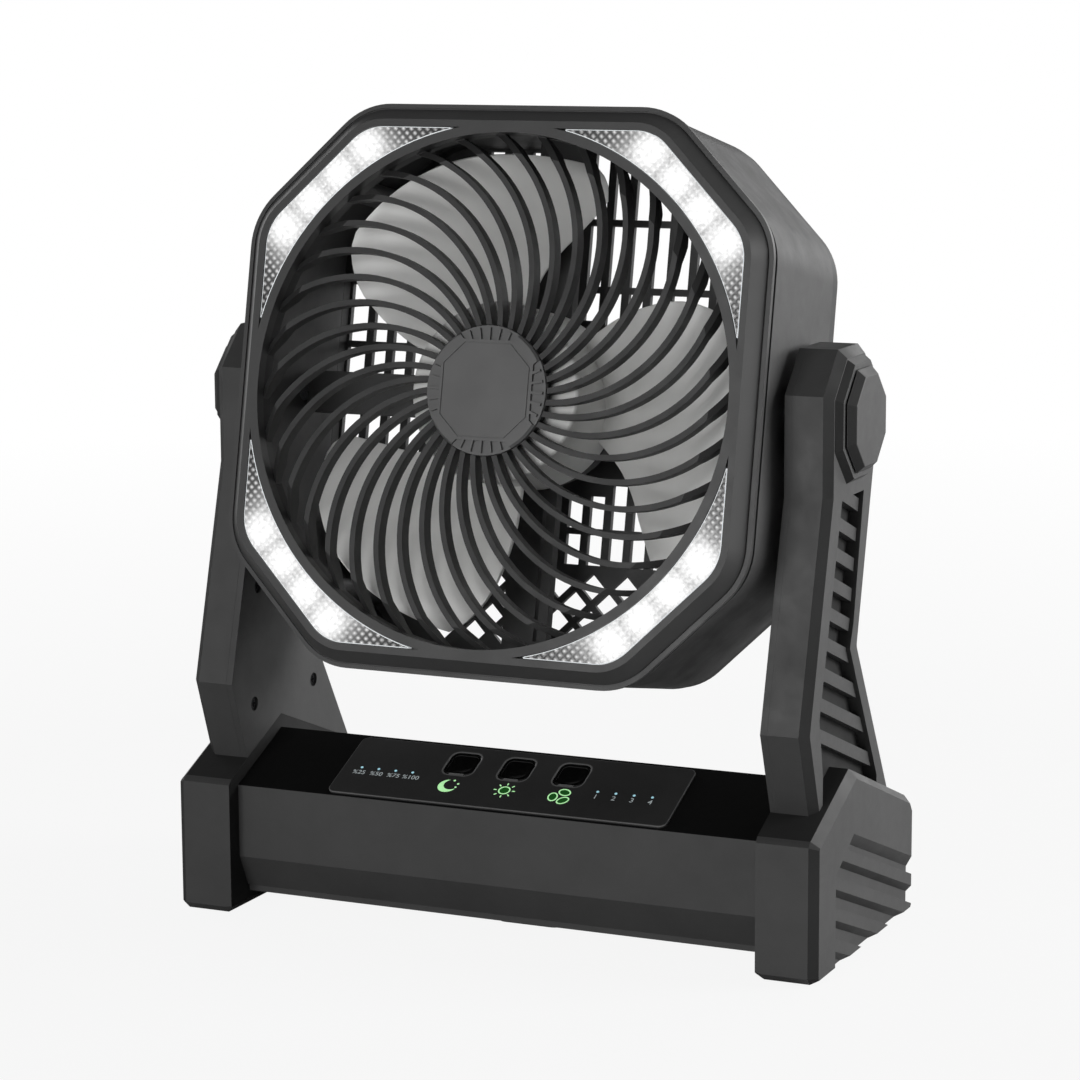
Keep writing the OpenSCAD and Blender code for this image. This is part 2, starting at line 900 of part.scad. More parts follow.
module head_bezel() {
  color("#474747")
    in_head()
      difference() {
        union() {
          oct_layer(spigot_g, spigot_z, shell_front + 0.01);
          oct_layer(neck_g, shell_front, lip_z - 2 + 0.01);
          oct_layer(0, lip_z - 2, lip_z);
          oct_taper(-2, rim_g, lip_z - 0.01, rim_z);
        }
        difference() {
          oct_layer(-1.5, lip_z - 0.6, lip_z + 0.5);
          oct_layer(-2, lip_z - 0.7, lip_z + 0.6);
        }
        oct_layer(bezel_in_g, spigot_z - eps, plate_back);
        cylinder(h = rim_z + eps, r = opening_r, $fn = 120);
        translate([0, 0, plate_back - eps])
          cylinder(h = ring_seat - plate_back + eps, r = ring_out + 0.3, $fn = 120);
        translate([0, 0, plate_back - eps])
          linear_extrude(lens_seat - plate_back + 2 * eps)
            crescent(lens_g - glow_in, lens_r + glow_in, 20);
        translate([0, 0, lens_seat])
          linear_extrude(rim_z - lens_seat + eps)
            crescent(lens_g, lens_r, 10);
      }
}

module lens(turn) {
  in_head()
    rotate([0, 0, turn])
      translate([0, 0, lens_seat])
        linear_extrude(lens_t)
          crescent_one(lens_g - 0.15, lens_r + 0.15, 22);
}

module light_board(turn) {
  in_head()
    rotate([0, 0, turn]) {
      translate([0, 0, plate_back - 1.6])
        linear_extrude(1.6)
          crescent_one(lens_g + 0.7, lens_r + 0.2, 38);
      rotate([0, 0, 45])
        for (t = [-1.5:1.5])
          translate([chip_d - abs(t) * 0.56, t * chip_step, plate_back + 0.5])
            cube([chip_side, chip_side, 1.02], center = true);
    }
}

module rib_shape() {
  difference() {
    circle(rib_arc + rib_t / 2, $fn = 96);
    circle(rib_arc - rib_t / 2, $fn = 96);
  }
}

module front_grille() {
  color("#3f3f3f")
    in_head() {
      intersection() {
        translate([0, 0, ring_back])
          linear_extrude(grille_front - ring_back)
            for (k = [0:rib_count - 1])
              rotate([0, 0, k * 360 / rib_count])
                intersection() {
                  translate([rib_x, rib_y])
                    rib_shape();
                  polygon([
                    [badge_r - 3, -4], [50, -4], [opening_r + 8, 40],
                    [opening_r + 8, opening_r - 8], [58, 86], [badge_r - 3, 8]
                  ]);
                }
        rotate_extrude($fn = 120)
          polygon([
            [20, grille_back], [20, badge_seat - 0.1], [badge_r + 0.3, badge_seat - 0.1],
            [badge_r + 0.3, grille_front], [opening_r - 7.2, grille_front], [opening_r - 0.3, ring_seat - 0.2],
            [ring_r + 0.6, ring_seat - 0.2], [ring_r + 0.6, ring_back + 1], [opening_r - 4.2, ring_back + 1],
            [opening_r - 8.2, grille_back]
          ]);
      }
      translate([0, 0, grille_back])
        cylinder(h = badge_seat - grille_back, r = badge_r - 0.6, $fn = 96);
      translate([0, 0, ring_back])
        difference() {
          cylinder(h = ring_seat - ring_back, r = ring_out, $fn = 120);
          translate([0, 0, -eps])
            cylinder(h = 10, r = ring_r, $fn = 120);
        }
    }
}

// The square with cut corners on the badge, half as wide as a.
module badge_plate(a) {
  b = a - 7.6;
  polygon([[a, -b], [a, b], [b, a], [-b, a], [-a, b], [-a, -b], [-b, -a], [b, -a]]);
}

// One recess at the badge's rim, with the ribs that stand in it.
module badge_recess() {
  difference() {
    polygon([
      [badge_in, -9.6], [badge_in, 9.6], [badge_in + 1.5, 11], [badge_r + 1.5, 13.8],
      [badge_r + 1.5, -13.8], [badge_in + 1.5, -11]
    ]);
    for (j = [-2:2])
      rotate([0, 0, j * 10.6])
        translate([badge_in - 1, -badge_rib / 2])
          square([badge_r - badge_in + 0.2, badge_rib]);
  }
}

module hub_badge() {
  color("#484848")
    in_head()
      difference() {
        rotate_extrude($fn = 96)
          polygon([
            [0, badge_seat], [badge_r, badge_seat], [badge_r, badge_z - 0.8],
            [badge_r - 0.8, badge_z], [0, badge_z]
          ]);
        translate([0, 0, badge_z - 0.4])
          linear_extrude(0.4 + eps)
            difference() {
              badge_plate(badge_plate_r + 0.4);
              badge_plate(badge_plate_r);
            }
        for (k = [0:3])
          rotate([0, 0, 90 * k])
            translate([0, 0, badge_z - badge_deep])
              linear_extrude(badge_deep + eps)
                badge_recess();
      }
}

function octagon_reach(x) = min(tray_in, tray_diag - x);

function slot_box(x0, x1, y0, y1) = [[x0, y0], [x1, y0], [x1, y1], [x0, y1]];

// The slots right of the middle; the outermost ones run up to the wall.
module slots() {
  for (i = [0:slot_cols - 1], j = [0:len(bars) - 2]) {
    x0 = (i + 0.5) * slot_pitch - slot_w / 2;
    x1 = i == slot_cols - 1 ? tray_in : x0 + slot_w;
    reach = octagon_reach(x0 + slot_w);
    core = x1 < hub_r + 1 ? sqrt(pow(hub_r + 1, 2) - pow(x0, 2)) : 0;
    y0 = max(bars[j] + bar_w / 2, -reach);
    y1 = min(bars[j + 1] - bar_w / 2, reach);
    if (y1 - y0 > 3 && (y0 >= core || y1 <= -core))
      polygon(slot_box(x0, x1, y0, y1));
    if (y0 < core && y1 > core && y1 - core > 3)
      polygon(slot_box(x0, x1, core, y1));
    if (y0 < -core && y1 > -core && -core - y0 > 3)
      polygon(slot_box(x0, x1, y0, -core));
  }
}

module diamonds() {
  d = diamond_pitch * cos(45);
  r = (diamond_pitch - bar_w) * cos(45);
  for (i = [-16:16], j = [0:6]) {
    x = i * d;
    y = bars[0] - bar_w / 2 - r - 0.6 - j * d;
    if ((i + j) % 2 == 0 && -y + r < octagon_reach(abs(x)) + 0.5)
      translate([x, y])
        polygon([[r, 0], [0, r], [-r, 0], [0, -r]]);
  }
}

module rear_grille() {
  color("#3c3c3c")
    in_head()
      difference() {
        union() {
          oct_layer(tray_g, -shell_back - tray_d + 2, -shell_back);
          oct_taper(tray_g - 2, tray_g, -shell_back - tray_d, -shell_back - tray_d + 2.01);
        }
        oct_layer(shell_in_g, -shell_back - tray_d + grille_t, -shell_back + eps);
        translate([0, 0, -shell_back - tray_d - eps])
          linear_extrude(grille_t + 2 * eps) {
            slots();
            mirror([1, 0])
              slots();
            diamonds();
          }
        post_spots() {
          translate([0, 0, -shell_back - tray_d - eps])
            cylinder(h = 1.4 + eps, r = 3.2, $fn = 32);
          translate([0, 0, -shell_back - tray_d - eps])
            cylinder(h = 5, r = screw_r + run_gap, $fn = 24);
        }
      }
}

module rear_screws() {
  color("#8a8d90")
    in_head()
      post_spots()
        translate([0, 0, -shell_back - tray_d + 0.2]) {
          difference() {
            cylinder(h = 1.2, r = 3, $fn = 32);
            for (a = [0, 90])
              rotate([0, 0, a])
                cube([3.4, 0.7, 1.2], center = true);
          }
          translate([0, 0, 1.1])
            cylinder(h = 11, r = screw_r, $fn = 24);
        }
}

module motor_mount() {
  color("#333333")
    in_head()
      translate([0, 0, -strut_back - strut_t])
        linear_extrude(strut_t)
          difference() {
            union() {
              square([strut_w, 2 * inner_s], center = true);
              square([2 * inner_s, strut_w - 2], center = true);
              circle(hub_r - 2);
            }
            translate([3.6, slot_end - inner_s])
              square([1.4, inner_s - slot_end - hub_r - 4]);
          }
}

module motor_body() {
  color("#9c9c9c")
    in_head()
      difference() {
        union() {
          translate([0, 0, -strut_back])
            cylinder(h = motor_front + strut_back - 2, r = motor_r);
          cylinder(h = motor_front, r = 6);
        }
        translate([0, 0, shaft_back])
          cylinder(h = motor_front, r = shaft_r + run_gap);
      }
}

module motor_shaft() {
  color("#c9c9c9")
    in_head()
      translate([0, 0, shaft_back + seat_gap])
        cylinder(h = hub_front - 3.5 - shaft_back - 2 * seat_gap, r = shaft_r);
}

// One edge of a blade: shares of the way from the hub to the tip, each with its angle.
function blade_edge(q) = [for (e = q) (hub_r + e[0] * (blade_r - hub_r)) * [cos(e[1]), sin(e[1])]];

module blade_outline() {
  front = [
    [-0.03, 97], [0.09, 94], [0.24, 90], [0.39, 85], [0.54, 80], [0.69, 76.5],
    [0.81, 74.5], [0.93, 76.5], [1, 80.5], [1.07, 84], [1.4, 98]
  ];
  rear = [
    [1.4, 126], [1.07, 140], [1, 141.5], [0.96, 144], [0.89, 147], [0.78, 150.5], [0.65, 153.5],
    [0.44, 157], [0.26, 159.5], [-0.03, 162]
  ];
  intersection() {
    polygon(concat(blade_edge(front), blade_edge(rear)));
    circle(blade_r, $fn = 96);
  }
}

module blade() {
  intersection() {
    translate([0, 0, hub_back])
      linear_extrude(blade_top - hub_back)
        blade_outline();
    rotate([0, 0, sheet_turn])
      translate([sheet_x, 0, sheet_low + sheet_r])
        rotate([-90, 0, 0])
          difference() {
            cylinder(h = blade_r + 14, r = sheet_r + blade_t / 2, $fn = 144);
            translate([0, 0, -eps])
              cylinder(h = blade_r + 14 + 2 * eps, r = sheet_r - blade_t / 2, $fn = 144);
          }
  }
}

module impeller() {
  color("#c6c6c4")
    in_head() {
      for (k = [0:blade_count - 1])
        rotate([0, 0, blade_turn + k * 360 / blade_count])
          blade();
      rotate_extrude($fn = 96)
        polygon([
          [shaft_r + run_gap, hub_front - 3.5], [shaft_r + run_gap, 26], [6, 26], [6, hub_front - 2.2],
          [hub_r - 2.2, hub_front - 2.2], [hub_r - 2.2, hub_back], [hub_r, hub_back],
          [hub_r, hub_front - 1.5], [hub_r - 1.5, hub_front], [0, hub_front], [0, hub_front - 3.5]
        ]);
    }
}

// ---------- nodes ----------

base_shell();
base_plate();
color("#4a4a4a") left_hand() end_cap();  // end_cap_left
color("#4a4a4a") end_cap();  // end_cap_right
color("#161616") left_hand() corner_foot(-1);  // foot_front_left
color("#161616") corner_foot(-1);  // foot_front_right
color("#161616") left_hand() corner_foot(1);  // foot_rear_left
color("#161616") corner_foot(1);  // foot_rear_right
foot_middle();
control_panel();
color("#0e0e0e") push_button(-1);  // button_night
color("#0e0e0e") push_button(0);  // button_light
color("#0e0e0e") push_button(1);  // button_fan
color("#8fd0e8") led_dots(led_l);  // charge_leds
color("#8fd0e8") led_dots(led_r_row);  // speed_leds
control_board();
battery_tray();
battery_cells();
charge_port();
base_screws();
color("#4a4a4a") left_hand() arm_body();  // arm_left
color("#4a4a4a") arm_body();  // arm_right
color("#424242") left_hand() arm_cover();  // arm_cover_left
color("#424242") arm_cover();  // arm_cover_right
color("#2a2a2a") left_hand() arm_screw_set();  // arm_screws_left
color("#2a2a2a") arm_screw_set();  // arm_screws_right
color("#4d4d4d") left_hand() knob();  // knob_left
color("#4d4d4d") knob();  // knob_right
color("#9a9da0") left_hand() pivot_pin();  // pivot_pin_left
color("#9a9da0") pivot_pin();  // pivot_pin_right
color("#1d1d1d") left_hand() washer();  // washer_left
color("#1d1d1d") washer();  // washer_right
head_shell();
head_bezel();
front_grille();
hub_badge();
color("#eef3f6") lens(90);  // lens_top_left
color("#eef3f6") lens(0);  // lens_top_right
color("#eef3f6") lens(180);  // lens_bottom_left
color("#eef3f6") lens(270);  // lens_bottom_right
color("#f4f2e8") light_board(90);  // light_board_top_left
color("#f4f2e8") light_board(0);  // light_board_top_right
color("#f4f2e8") light_board(180);  // light_board_bottom_left
color("#f4f2e8") light_board(270);  // light_board_bottom_right
rear_grille();
rear_screws();
motor_mount();
motor_body();
motor_shaft();
impeller();
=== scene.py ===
"""Looks of a portable camping fan: octagonal tilting head, corner lights and battery base.

Every piece is in metres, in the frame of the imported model: the origin is on the floor under the
middle of the base, X runs to the right, Y to the rear and Z up.
"""

import json
import logging
import math
from dataclasses import dataclass, field
from enum import Enum
from typing import Any, Callable, Sequence

import bpy
from mathutils import Matrix, Vector

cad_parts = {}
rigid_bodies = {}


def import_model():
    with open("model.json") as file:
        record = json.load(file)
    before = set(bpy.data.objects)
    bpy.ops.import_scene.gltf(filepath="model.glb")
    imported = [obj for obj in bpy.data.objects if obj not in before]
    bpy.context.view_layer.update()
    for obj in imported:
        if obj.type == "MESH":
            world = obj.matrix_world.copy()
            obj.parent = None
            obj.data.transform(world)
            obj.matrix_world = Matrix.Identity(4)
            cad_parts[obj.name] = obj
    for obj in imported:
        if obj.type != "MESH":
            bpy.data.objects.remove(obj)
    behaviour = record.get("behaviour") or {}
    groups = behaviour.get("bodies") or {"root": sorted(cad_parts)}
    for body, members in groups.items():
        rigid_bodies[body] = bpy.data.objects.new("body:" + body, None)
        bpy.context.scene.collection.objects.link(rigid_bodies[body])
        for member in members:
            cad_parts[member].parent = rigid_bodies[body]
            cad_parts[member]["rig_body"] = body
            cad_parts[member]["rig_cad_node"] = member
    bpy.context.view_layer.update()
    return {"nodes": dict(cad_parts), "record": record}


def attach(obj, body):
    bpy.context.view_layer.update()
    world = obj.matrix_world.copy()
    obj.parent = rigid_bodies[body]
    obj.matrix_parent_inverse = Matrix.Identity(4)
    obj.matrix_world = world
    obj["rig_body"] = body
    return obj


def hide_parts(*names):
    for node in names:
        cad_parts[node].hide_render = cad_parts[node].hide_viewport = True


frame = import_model()

log = logging.getLogger("camping_fan")
MM = 0.001
WHITE = "#FFFFFF"
SIDES = ("left", "right")
# Where most of a noise texture's values lie.
NOISE_SPAN = (0.3, 0.7)
# A face looks along an axis when this much of its normal lies that way.
SQUARE = 0.9
# How near two heights are that count as level, in millimetres.
LEVEL = 0.01

Pair = tuple[float, float]
Spot = tuple[float, float, float]
Test = Callable[[Vector, Vector], bool]
Tree = bpy.types.NodeTree
Socket = bpy.types.NodeSocket
Piece = bpy.types.Object


# ---------- sizes shared by several pieces, in millimetres ----------


@dataclass(frozen=True)
class Layout:
    """Where the sub-assemblies lie on the object."""

    pivot_y: float = -2.35
    pivot_z: float = 189.7
    head_tilt: float = 12.0
    slope_y: float = -46.45
    slope_z: float = 48.3
    slope_rise: float = 14.7
    slope_run: float = 33.7
    shade_past: float = 0.45
    pocket_x: float = 116.0

    @property
    def slope_angle(self) -> float:
        """Return how steep the sloping front is, in degrees."""
        return math.degrees(math.atan2(self.slope_rise, self.slope_run))

    def head(self) -> Matrix:
        """Return the matrix from head coordinates, z to the front, to the object's, in mm."""
        turn = Matrix.Rotation(math.radians(90.0 - self.head_tilt), 4, "X")
        return Matrix.Translation((0.0, self.pivot_y, self.pivot_z)) @ turn

    def slope(self) -> Matrix:
        """Return the matrix from the sloping front, y uphill and z outward, in mm."""
        turn = Matrix.Rotation(math.radians(self.slope_angle), 4, "X")
        return Matrix.Translation((0.0, self.slope_y, self.slope_z)) @ turn

    def head_up(self) -> Vector:
        """Return the direction that points up the tilted head."""
        tilt = math.radians(self.head_tilt)
        return Vector((0.0, math.sin(tilt), math.cos(tilt)))

    def slope_out(self) -> Vector:
        """Return the direction that points out of the sloping front."""
        lean = math.radians(self.slope_angle)
        return Vector((0.0, -math.sin(lean), math.cos(lean)))


LAYOUT = Layout()


# ---------- colours and nodes ----------


def linear(hex_code: str) -> tuple[float, float, float, float]:
    """Turn an sRGB hex value into a linear colour.

    Args:
        hex_code: Six hex digits with a leading hash.

    Returns:
        Linear red, green, blue and an alpha of one.
    """
    parts = [int(hex_code[i : i + 2], 16) / 255.0 for i in (1, 3, 5)]
    red, green, blue = (
        c / 12.92 if c <= 0.04045 else ((c + 0.055) / 1.055) ** 2.4 for c in parts
    )
    return red, green, blue, 1.0


def add_node(
    tree: Tree,
    kind: str,
    settings: dict[str, Any] | None = None,
    links: dict[str, Socket] | None = None,
) -> bpy.types.Node:
    """Add a node, set its properties and sockets, and link its inputs.

    Args:
        tree: The tree that gets the node.
        kind: The node's Blender type name.
        settings: Property or input names and their values.
        links: Input names and the sockets that feed them.

    Returns:
        The new node.
    """
    node = tree.nodes.new(kind)
    for name, value in (settings or {}).items():
        if name in node.inputs:
            node.inputs[name].default_value = value
        else:
            setattr(node, name, value)
    for name, socket in (links or {}).items():
        tree.links.new(socket, node.inputs[name])
    return node


def noise(
    tree: Tree, place: Socket, size_mm: float, detail: float, roughness: float = 0.5
) -> Socket:
    """Draw noise in a piece's own coordinates.

    Args:
        tree: The material's tree.
        place: The coordinates, in metres.
        size_mm: About how wide a feature is.
        detail: How many finer layers there are.
        roughness: How strong the finer layers are.

    Returns:
        The noise, from 0 to 1.
    """
    settings = {"Scale": 1.0 / (size_mm * MM), "Detail": detail, "Roughness": roughness}
    return add_node(tree, "ShaderNodeTexNoise", settings, {"Vector": place}).outputs["Fac"]


def remap(tree: Tree, value: Socket, span: Pair, ends: Pair, steps: str = "LINEAR") -> Socket:
    """Turn one range of values into another.

    Args:
        tree: The material's tree.
        value: What is turned.
        span: Where the change starts and ends.
        ends: The values before and after it.
        steps: Blender's name for the way between them.

    Returns:
        The new value.
    """
    settings = {
        "interpolation_type": steps,
        "From Min": span[0],
        "From Max": span[1],
        "To Min": ends[0],
        "To Max": ends[1],
    }
    return add_node(tree, "ShaderNodeMapRange", settings, {"Value": value}).outputs["Result"]


def blend(tree: Tree, value: Socket, first: str, last: str, stops: Pair = (0.0, 1.0)) -> Socket:
    """Blend from one hex colour to another by a value, between two stops."""
    node = add_node(tree, "ShaderNodeValToRGB", links={"Fac": value})
    for element, stop, colour in zip(node.color_ramp.elements, stops, (first, last)):
        element.position = stop
        element.color = linear(colour)
    return node.outputs["Color"]


def relief(tree: Tree, height: Socket, strength: float, high_mm: float) -> Socket:
    """Turn a height from 0 to 1 into the normal of a relief that is high_mm high."""
    settings = {"Strength": strength, "Distance": high_mm * MM}
    return add_node(tree, "ShaderNodeBump", settings, {"Height": height}).outputs["Normal"]


def compute(tree: Tree, operation: str, *values: Socket | float) -> Socket:
    """Join up to three values by one operation of the Math node."""
    node = add_node(tree, "ShaderNodeMath", {"operation": operation})
    for slot, value in zip(node.inputs, values):
        if isinstance(value, float):
            slot.default_value = value
        else:
            tree.links.new(value, slot)
    return node.outputs["Value"]


def distance(tree: Tree, place: Socket, point: Sequence[float]) -> Socket:
    """Return how far a place is from a point, in metres."""
    node = add_node(tree, "ShaderNodeVectorMath", {"operation": "DISTANCE"})
    tree.links.new(place, node.inputs[0])
    node.inputs[1].default_value = point
    return node.outputs["Value"]


# ---------- finishes ----------


@dataclass(frozen=True)
class Look:
    """A finish, which draws its own shader."""

    name: str

    def draw(self, tree: Tree, place: Socket) -> bpy.types.Node:
        """Draw the shader.

        Args:
            tree: The material's tree.
            place: The piece's own coordinates.

        Returns:
            The node whose first output is the finished shader.
        """
        raise NotImplementedError

    def build(self) -> bpy.types.Material:
        """Build the material.

        Returns:
            The finished material.
        """
        material = bpy.data.materials.new(self.name)
        material.use_nodes = True
        tree = material.node_tree
        tree.nodes.clear()
        shader = self.draw(tree, add_node(tree, "ShaderNodeTexCoord").outputs["Object"])
        add_node(tree, "ShaderNodeOutputMaterial", links={"Surface": shader.outputs[0]})
        return material


@dataclass(frozen=True)
class MouldedPlastic(Look):
    """Injection moulded plastic with a spark-eroded grain from its tool.

    The grain gives a soft sheen instead of a mirror, and slow changes of tone where the melt
    flowed and where hands have polished the surface.
    """

    light: str
    dark: str
    rough: Pair = (0.46, 0.62)
    # The grain is drawn about twice as coarse as the real one, so that it shows at all.
    grain_mm: float = 0.9
    grain_high_mm: float = 0.03
    mottle_mm: float = 38.0
    mottle_stops: Pair = (0.35, 0.65)
    grain_strength: float = 0.5
    ior: float = 1.5

    def draw(self, tree: Tree, place: Socket) -> bpy.types.Node:
        """Draw a mottled tone, a rubbed gloss and the grain."""
        flow = noise(tree, place, self.mottle_mm, 4.0, 0.6)
        grain = noise(tree, place, self.grain_mm, 3.0, 0.7)
        rub = noise(tree, place, self.mottle_mm / 3.0, 6.0, 0.65)
        links = {
            "Base Color": blend(tree, flow, self.dark, self.light, self.mottle_stops),
            "Roughness": remap(tree, rub, NOISE_SPAN, self.rough),
            "Normal": relief(tree, grain, self.grain_strength, self.grain_high_mm),
        }
        return add_node(tree, "ShaderNodeBsdfPrincipled", {"IOR": self.ior}, links)


@dataclass(frozen=True)
class LitLens(Look):
    """Prismatic clear acrylic in front of lit chips.

    The chips show as soft white spots that run together, and the crossed prisms show where the
    light fades towards the two tips. It is drawn in each corner's own directions, out and across.
    """

    name: str = "Prismatic clear acrylic, lit"
    dark: str = "#2C2C2C"
    light: str = "#9A9A9A"
    prism_mm: float = 2.2
    prism_high_mm: float = 0.25
    prism_strength: float = 0.6
    chips: tuple[Pair, ...] = ((98.5, 7.0), (98.0, 21.0))
    spot_mm: Pair = (1.5, 11.0)
    band_mm: Pair = (25.0, 36.0)
    tip_mm: Pair = (34.0, 46.0)
    speck_mm: float = 2.0
    band_glow: float = 0.4
    mottle: float = 0.95
    spot_glow: float = 0.62
    tip_glow: float = 0.5
    tip_power: float = 1.6
    tip_low: float = 0.07
    tip_end: float = 0.25
    gloss: float = 0.18
    ior: float = 1.49

    def fade(self, tree: Tree, value: Socket, span_mm: Pair, ends: Pair) -> Socket:
        """Fade smoothly from one value to another over a span in mm of a distance in metres."""
        span = (span_mm[0] * MM, span_mm[1] * MM)
        return remap(tree, value, span, ends, "SMOOTHSTEP")

    def corner_place(self, tree: Tree, place: Socket) -> tuple[Socket, Socket]:
        """Return the distances out of the head's middle and across a corner, in metres."""
        sides = []
        for way in (Vector((1.0, 0.0, 0.0)), LAYOUT.head_up()):
            along = add_node(tree, "ShaderNodeVectorMath", {"operation": "DOT_PRODUCT"})
            tree.links.new(place, along.inputs[0])
            along.inputs[1].default_value = way
            middle = way.dot(Vector((0.0, LAYOUT.pivot_y, LAYOUT.pivot_z))) * MM
            away = compute(tree, "SUBTRACT", along.outputs["Value"], middle)
            sides.append(compute(tree, "ABSOLUTE", away))
        half = math.sqrt(0.5)
        out = compute(tree, "MULTIPLY", compute(tree, "ADD", *sides), half)
        across = compute(tree, "MULTIPLY", compute(tree, "SUBTRACT", *sides), half)
        return out, compute(tree, "ABSOLUTE", across)

    def prisms(self, tree: Tree, *ways: Socket) -> Socket:
        """Return a grid of small bright prisms, from 0 in their valleys to 1 on their tips."""
        turns = 2.0 * math.pi / (self.prism_mm * MM)
        waves = [compute(tree, "SINE", compute(tree, "MULTIPLY", way, turns)) for way in ways]
        tips = [compute(tree, "MULTIPLY_ADD", wave, 0.5, 0.5) for wave in waves]
        return compute(tree, "MULTIPLY", *tips)

    def band(self, tree: Tree, where: Socket) -> Socket:
        """Return the glow of the band in front of the chips."""
        spots = []
        for chip in self.chips:
            away = distance(tree, where, (chip[0] * MM, chip[1] * MM, 0.0))
            spots.append(self.fade(tree, away, self.spot_mm, (self.spot_glow, 0.0)))
        speck = noise(tree, where, self.speck_mm, 3.0, 0.75)
        low = self.band_glow - self.mottle / 2.0
        speck = compute(tree, "MULTIPLY_ADD", speck, self.mottle, low)
        return compute(tree, "ADD", speck, compute(tree, "MAXIMUM", *spots))

    def draw(self, tree: Tree, place: Socket) -> bpy.types.Node:
        """Draw the lit band, which turns into prisms towards the tips."""
        out, across = self.corner_place(tree, place)
        where = add_node(tree, "ShaderNodeCombineXYZ", links={"X": out, "Y": across})
        prism = self.prisms(tree, out, across)
        band = self.band(tree, where.outputs["Vector"])
        tip = compute(tree, "POWER", prism, self.tip_power)
        tip = compute(tree, "MULTIPLY_ADD", tip, self.tip_glow, self.tip_low)
        ends = self.fade(tree, across, self.tip_mm, (1.0, self.tip_end))
        tip = compute(tree, "MULTIPLY", tip, ends)
        share = self.fade(tree, across, self.band_mm, (1.0, 0.0))
        glow = add_node(tree, "ShaderNodeMix", {"data_type": "FLOAT"}, {"Factor": share})
        values = [i for i in glow.inputs if i.type == "VALUE" and i.name in ("A", "B")]
        tree.links.new(tip, values[0])
        tree.links.new(band, values[1])
        return add_node(
            tree,
            "ShaderNodeBsdfPrincipled",
            {"IOR": self.ior, "Roughness": self.gloss, "Emission Color": linear(WHITE)},
            {
                "Base Color": blend(tree, prism, self.dark, self.light),
                "Normal": relief(tree, prism, self.prism_strength, self.prism_high_mm),
                "Emission Strength": next(o for o in glow.outputs if o.type == "VALUE"),
            },
        )


@dataclass(frozen=True)
class LitChipBoard(Look):
    """White solder-masked board whose chips glow round their centres."""

    light: str = "#E9E7DF"
    dark: str = "#D9D7CE"
    glow: float = 5.0
    base_glow: float = 0.35
    centres: tuple[Spot, ...] = ()
    reach_mm: Pair = (1.2, 9.0)
    fade_power: float = 2.0
    speck_mm: float = 6.0
    rough: float = 0.4

    def draw(self, tree: Tree, place: Socket) -> bpy.types.Node:
        """Draw the mottled mask with a glow round each chip."""
        span = (self.reach_mm[0] * MM, self.reach_mm[1] * MM)
        total = None
        for centre in self.centres:
            away = distance(tree, place, centre)
            lit = remap(tree, away, span, (1.0, 0.0), "SMOOTHERSTEP")
            total = lit if total is None else compute(tree, "MAXIMUM", total, lit)
        faded = compute(tree, "POWER", total, self.fade_power)
        speck = noise(tree, place, self.speck_mm, 4.0)
        links = {
            "Base Color": blend(tree, speck, self.dark, self.light),
            "Emission Strength": compute(tree, "MULTIPLY_ADD", faded, self.glow, self.base_glow),
        }
        settings = {"Roughness": self.rough, "Emission Color": linear(WHITE)}
        return add_node(tree, "ShaderNodeBsdfPrincipled", settings, links)


@dataclass(frozen=True)
class LitPrint(Look):
    """Translucent ink in a panel, lit from behind by a small lamp."""

    colour: str
    glow: float = 0.9
    least: float = 0.75
    patch_mm: float = 2.5
    rough: float = 0.35

    def draw(self, tree: Tree, place: Socket) -> bpy.types.Node:
        """Draw ink that glows a little unevenly."""
        ink = linear(self.colour)
        patch = noise(tree, place, self.patch_mm, 2.0)
        strength = remap(tree, patch, NOISE_SPAN, (self.glow * self.least, self.glow))
        return add_node(
            tree,
            "ShaderNodeBsdfPrincipled",
            {"Base Color": ink, "Roughness": self.rough, "Emission Color": ink},
            {"Emission Strength": strength},
        )


@dataclass(frozen=True)
class PlainMetal(Look):
    """Drawn or plated metal with fine marks."""

    colour: str
    rough: float = 0.3
    smoother: float = 0.08
    rougher: float = 0.12
    mark_mm: float = 0.6
    mark_high_mm: float = 0.02
    mark_strength: float = 0.4

    def draw(self, tree: Tree, place: Socket) -> bpy.types.Node:
        """Draw metal whose marks change its gloss and relief."""
        marks = noise(tree, place, self.mark_mm, 3.0)
        span = (self.rough - self.smoother, self.rough + self.rougher)
        return add_node(
            tree,
            "ShaderNodeBsdfPrincipled",
            {"Base Color": linear(self.colour), "Metallic": 1.0},
            {
                "Roughness": remap(tree, marks, NOISE_SPAN, span),
                "Normal": relief(tree, marks, self.mark_strength, self.mark_high_mm),
            },
        )


@dataclass(frozen=True)
class Paper(Look):
    """Matt white paper that runs out to the white of the backdrop where it is seen."""

    light: str = "#CCCCCC"
    dark: str = "#C4C4C4"
    rough: float = 0.95
    fibre_mm: float = 50.0 / 3.0
    reach: Pair = (0.35, 1.3)
    white: Pair = (0.9, 1.0)

    def draw(self, tree: Tree, place: Socket) -> bpy.types.Node:
        """Draw the paper, mixed with plain white for the camera's own rays."""
        tone = blend(tree, noise(tree, place, self.fibre_mm, 5.0), self.dark, self.light)
        settings = {"Roughness": self.rough}
        paper = add_node(tree, "ShaderNodeBsdfPrincipled", settings, {"Base Color": tone})
        white = add_node(tree, "ShaderNodeEmission", {"Strength": 1.0})
        path = add_node(tree, "ShaderNodeLightPath")
        share = remap(tree, distance(tree, place, (0.0, 0.0, 0.0)), self.reach, self.white)
        seen = compute(tree, "MULTIPLY", path.outputs["Is Camera Ray"], share)
        mix = add_node(tree, "ShaderNodeMixShader", links={"Fac": seen})
        tree.links.new(paper.outputs["BSDF"], mix.inputs[1])
        tree.links.new(white.outputs["Emission"], mix.inputs[2])
        return mix


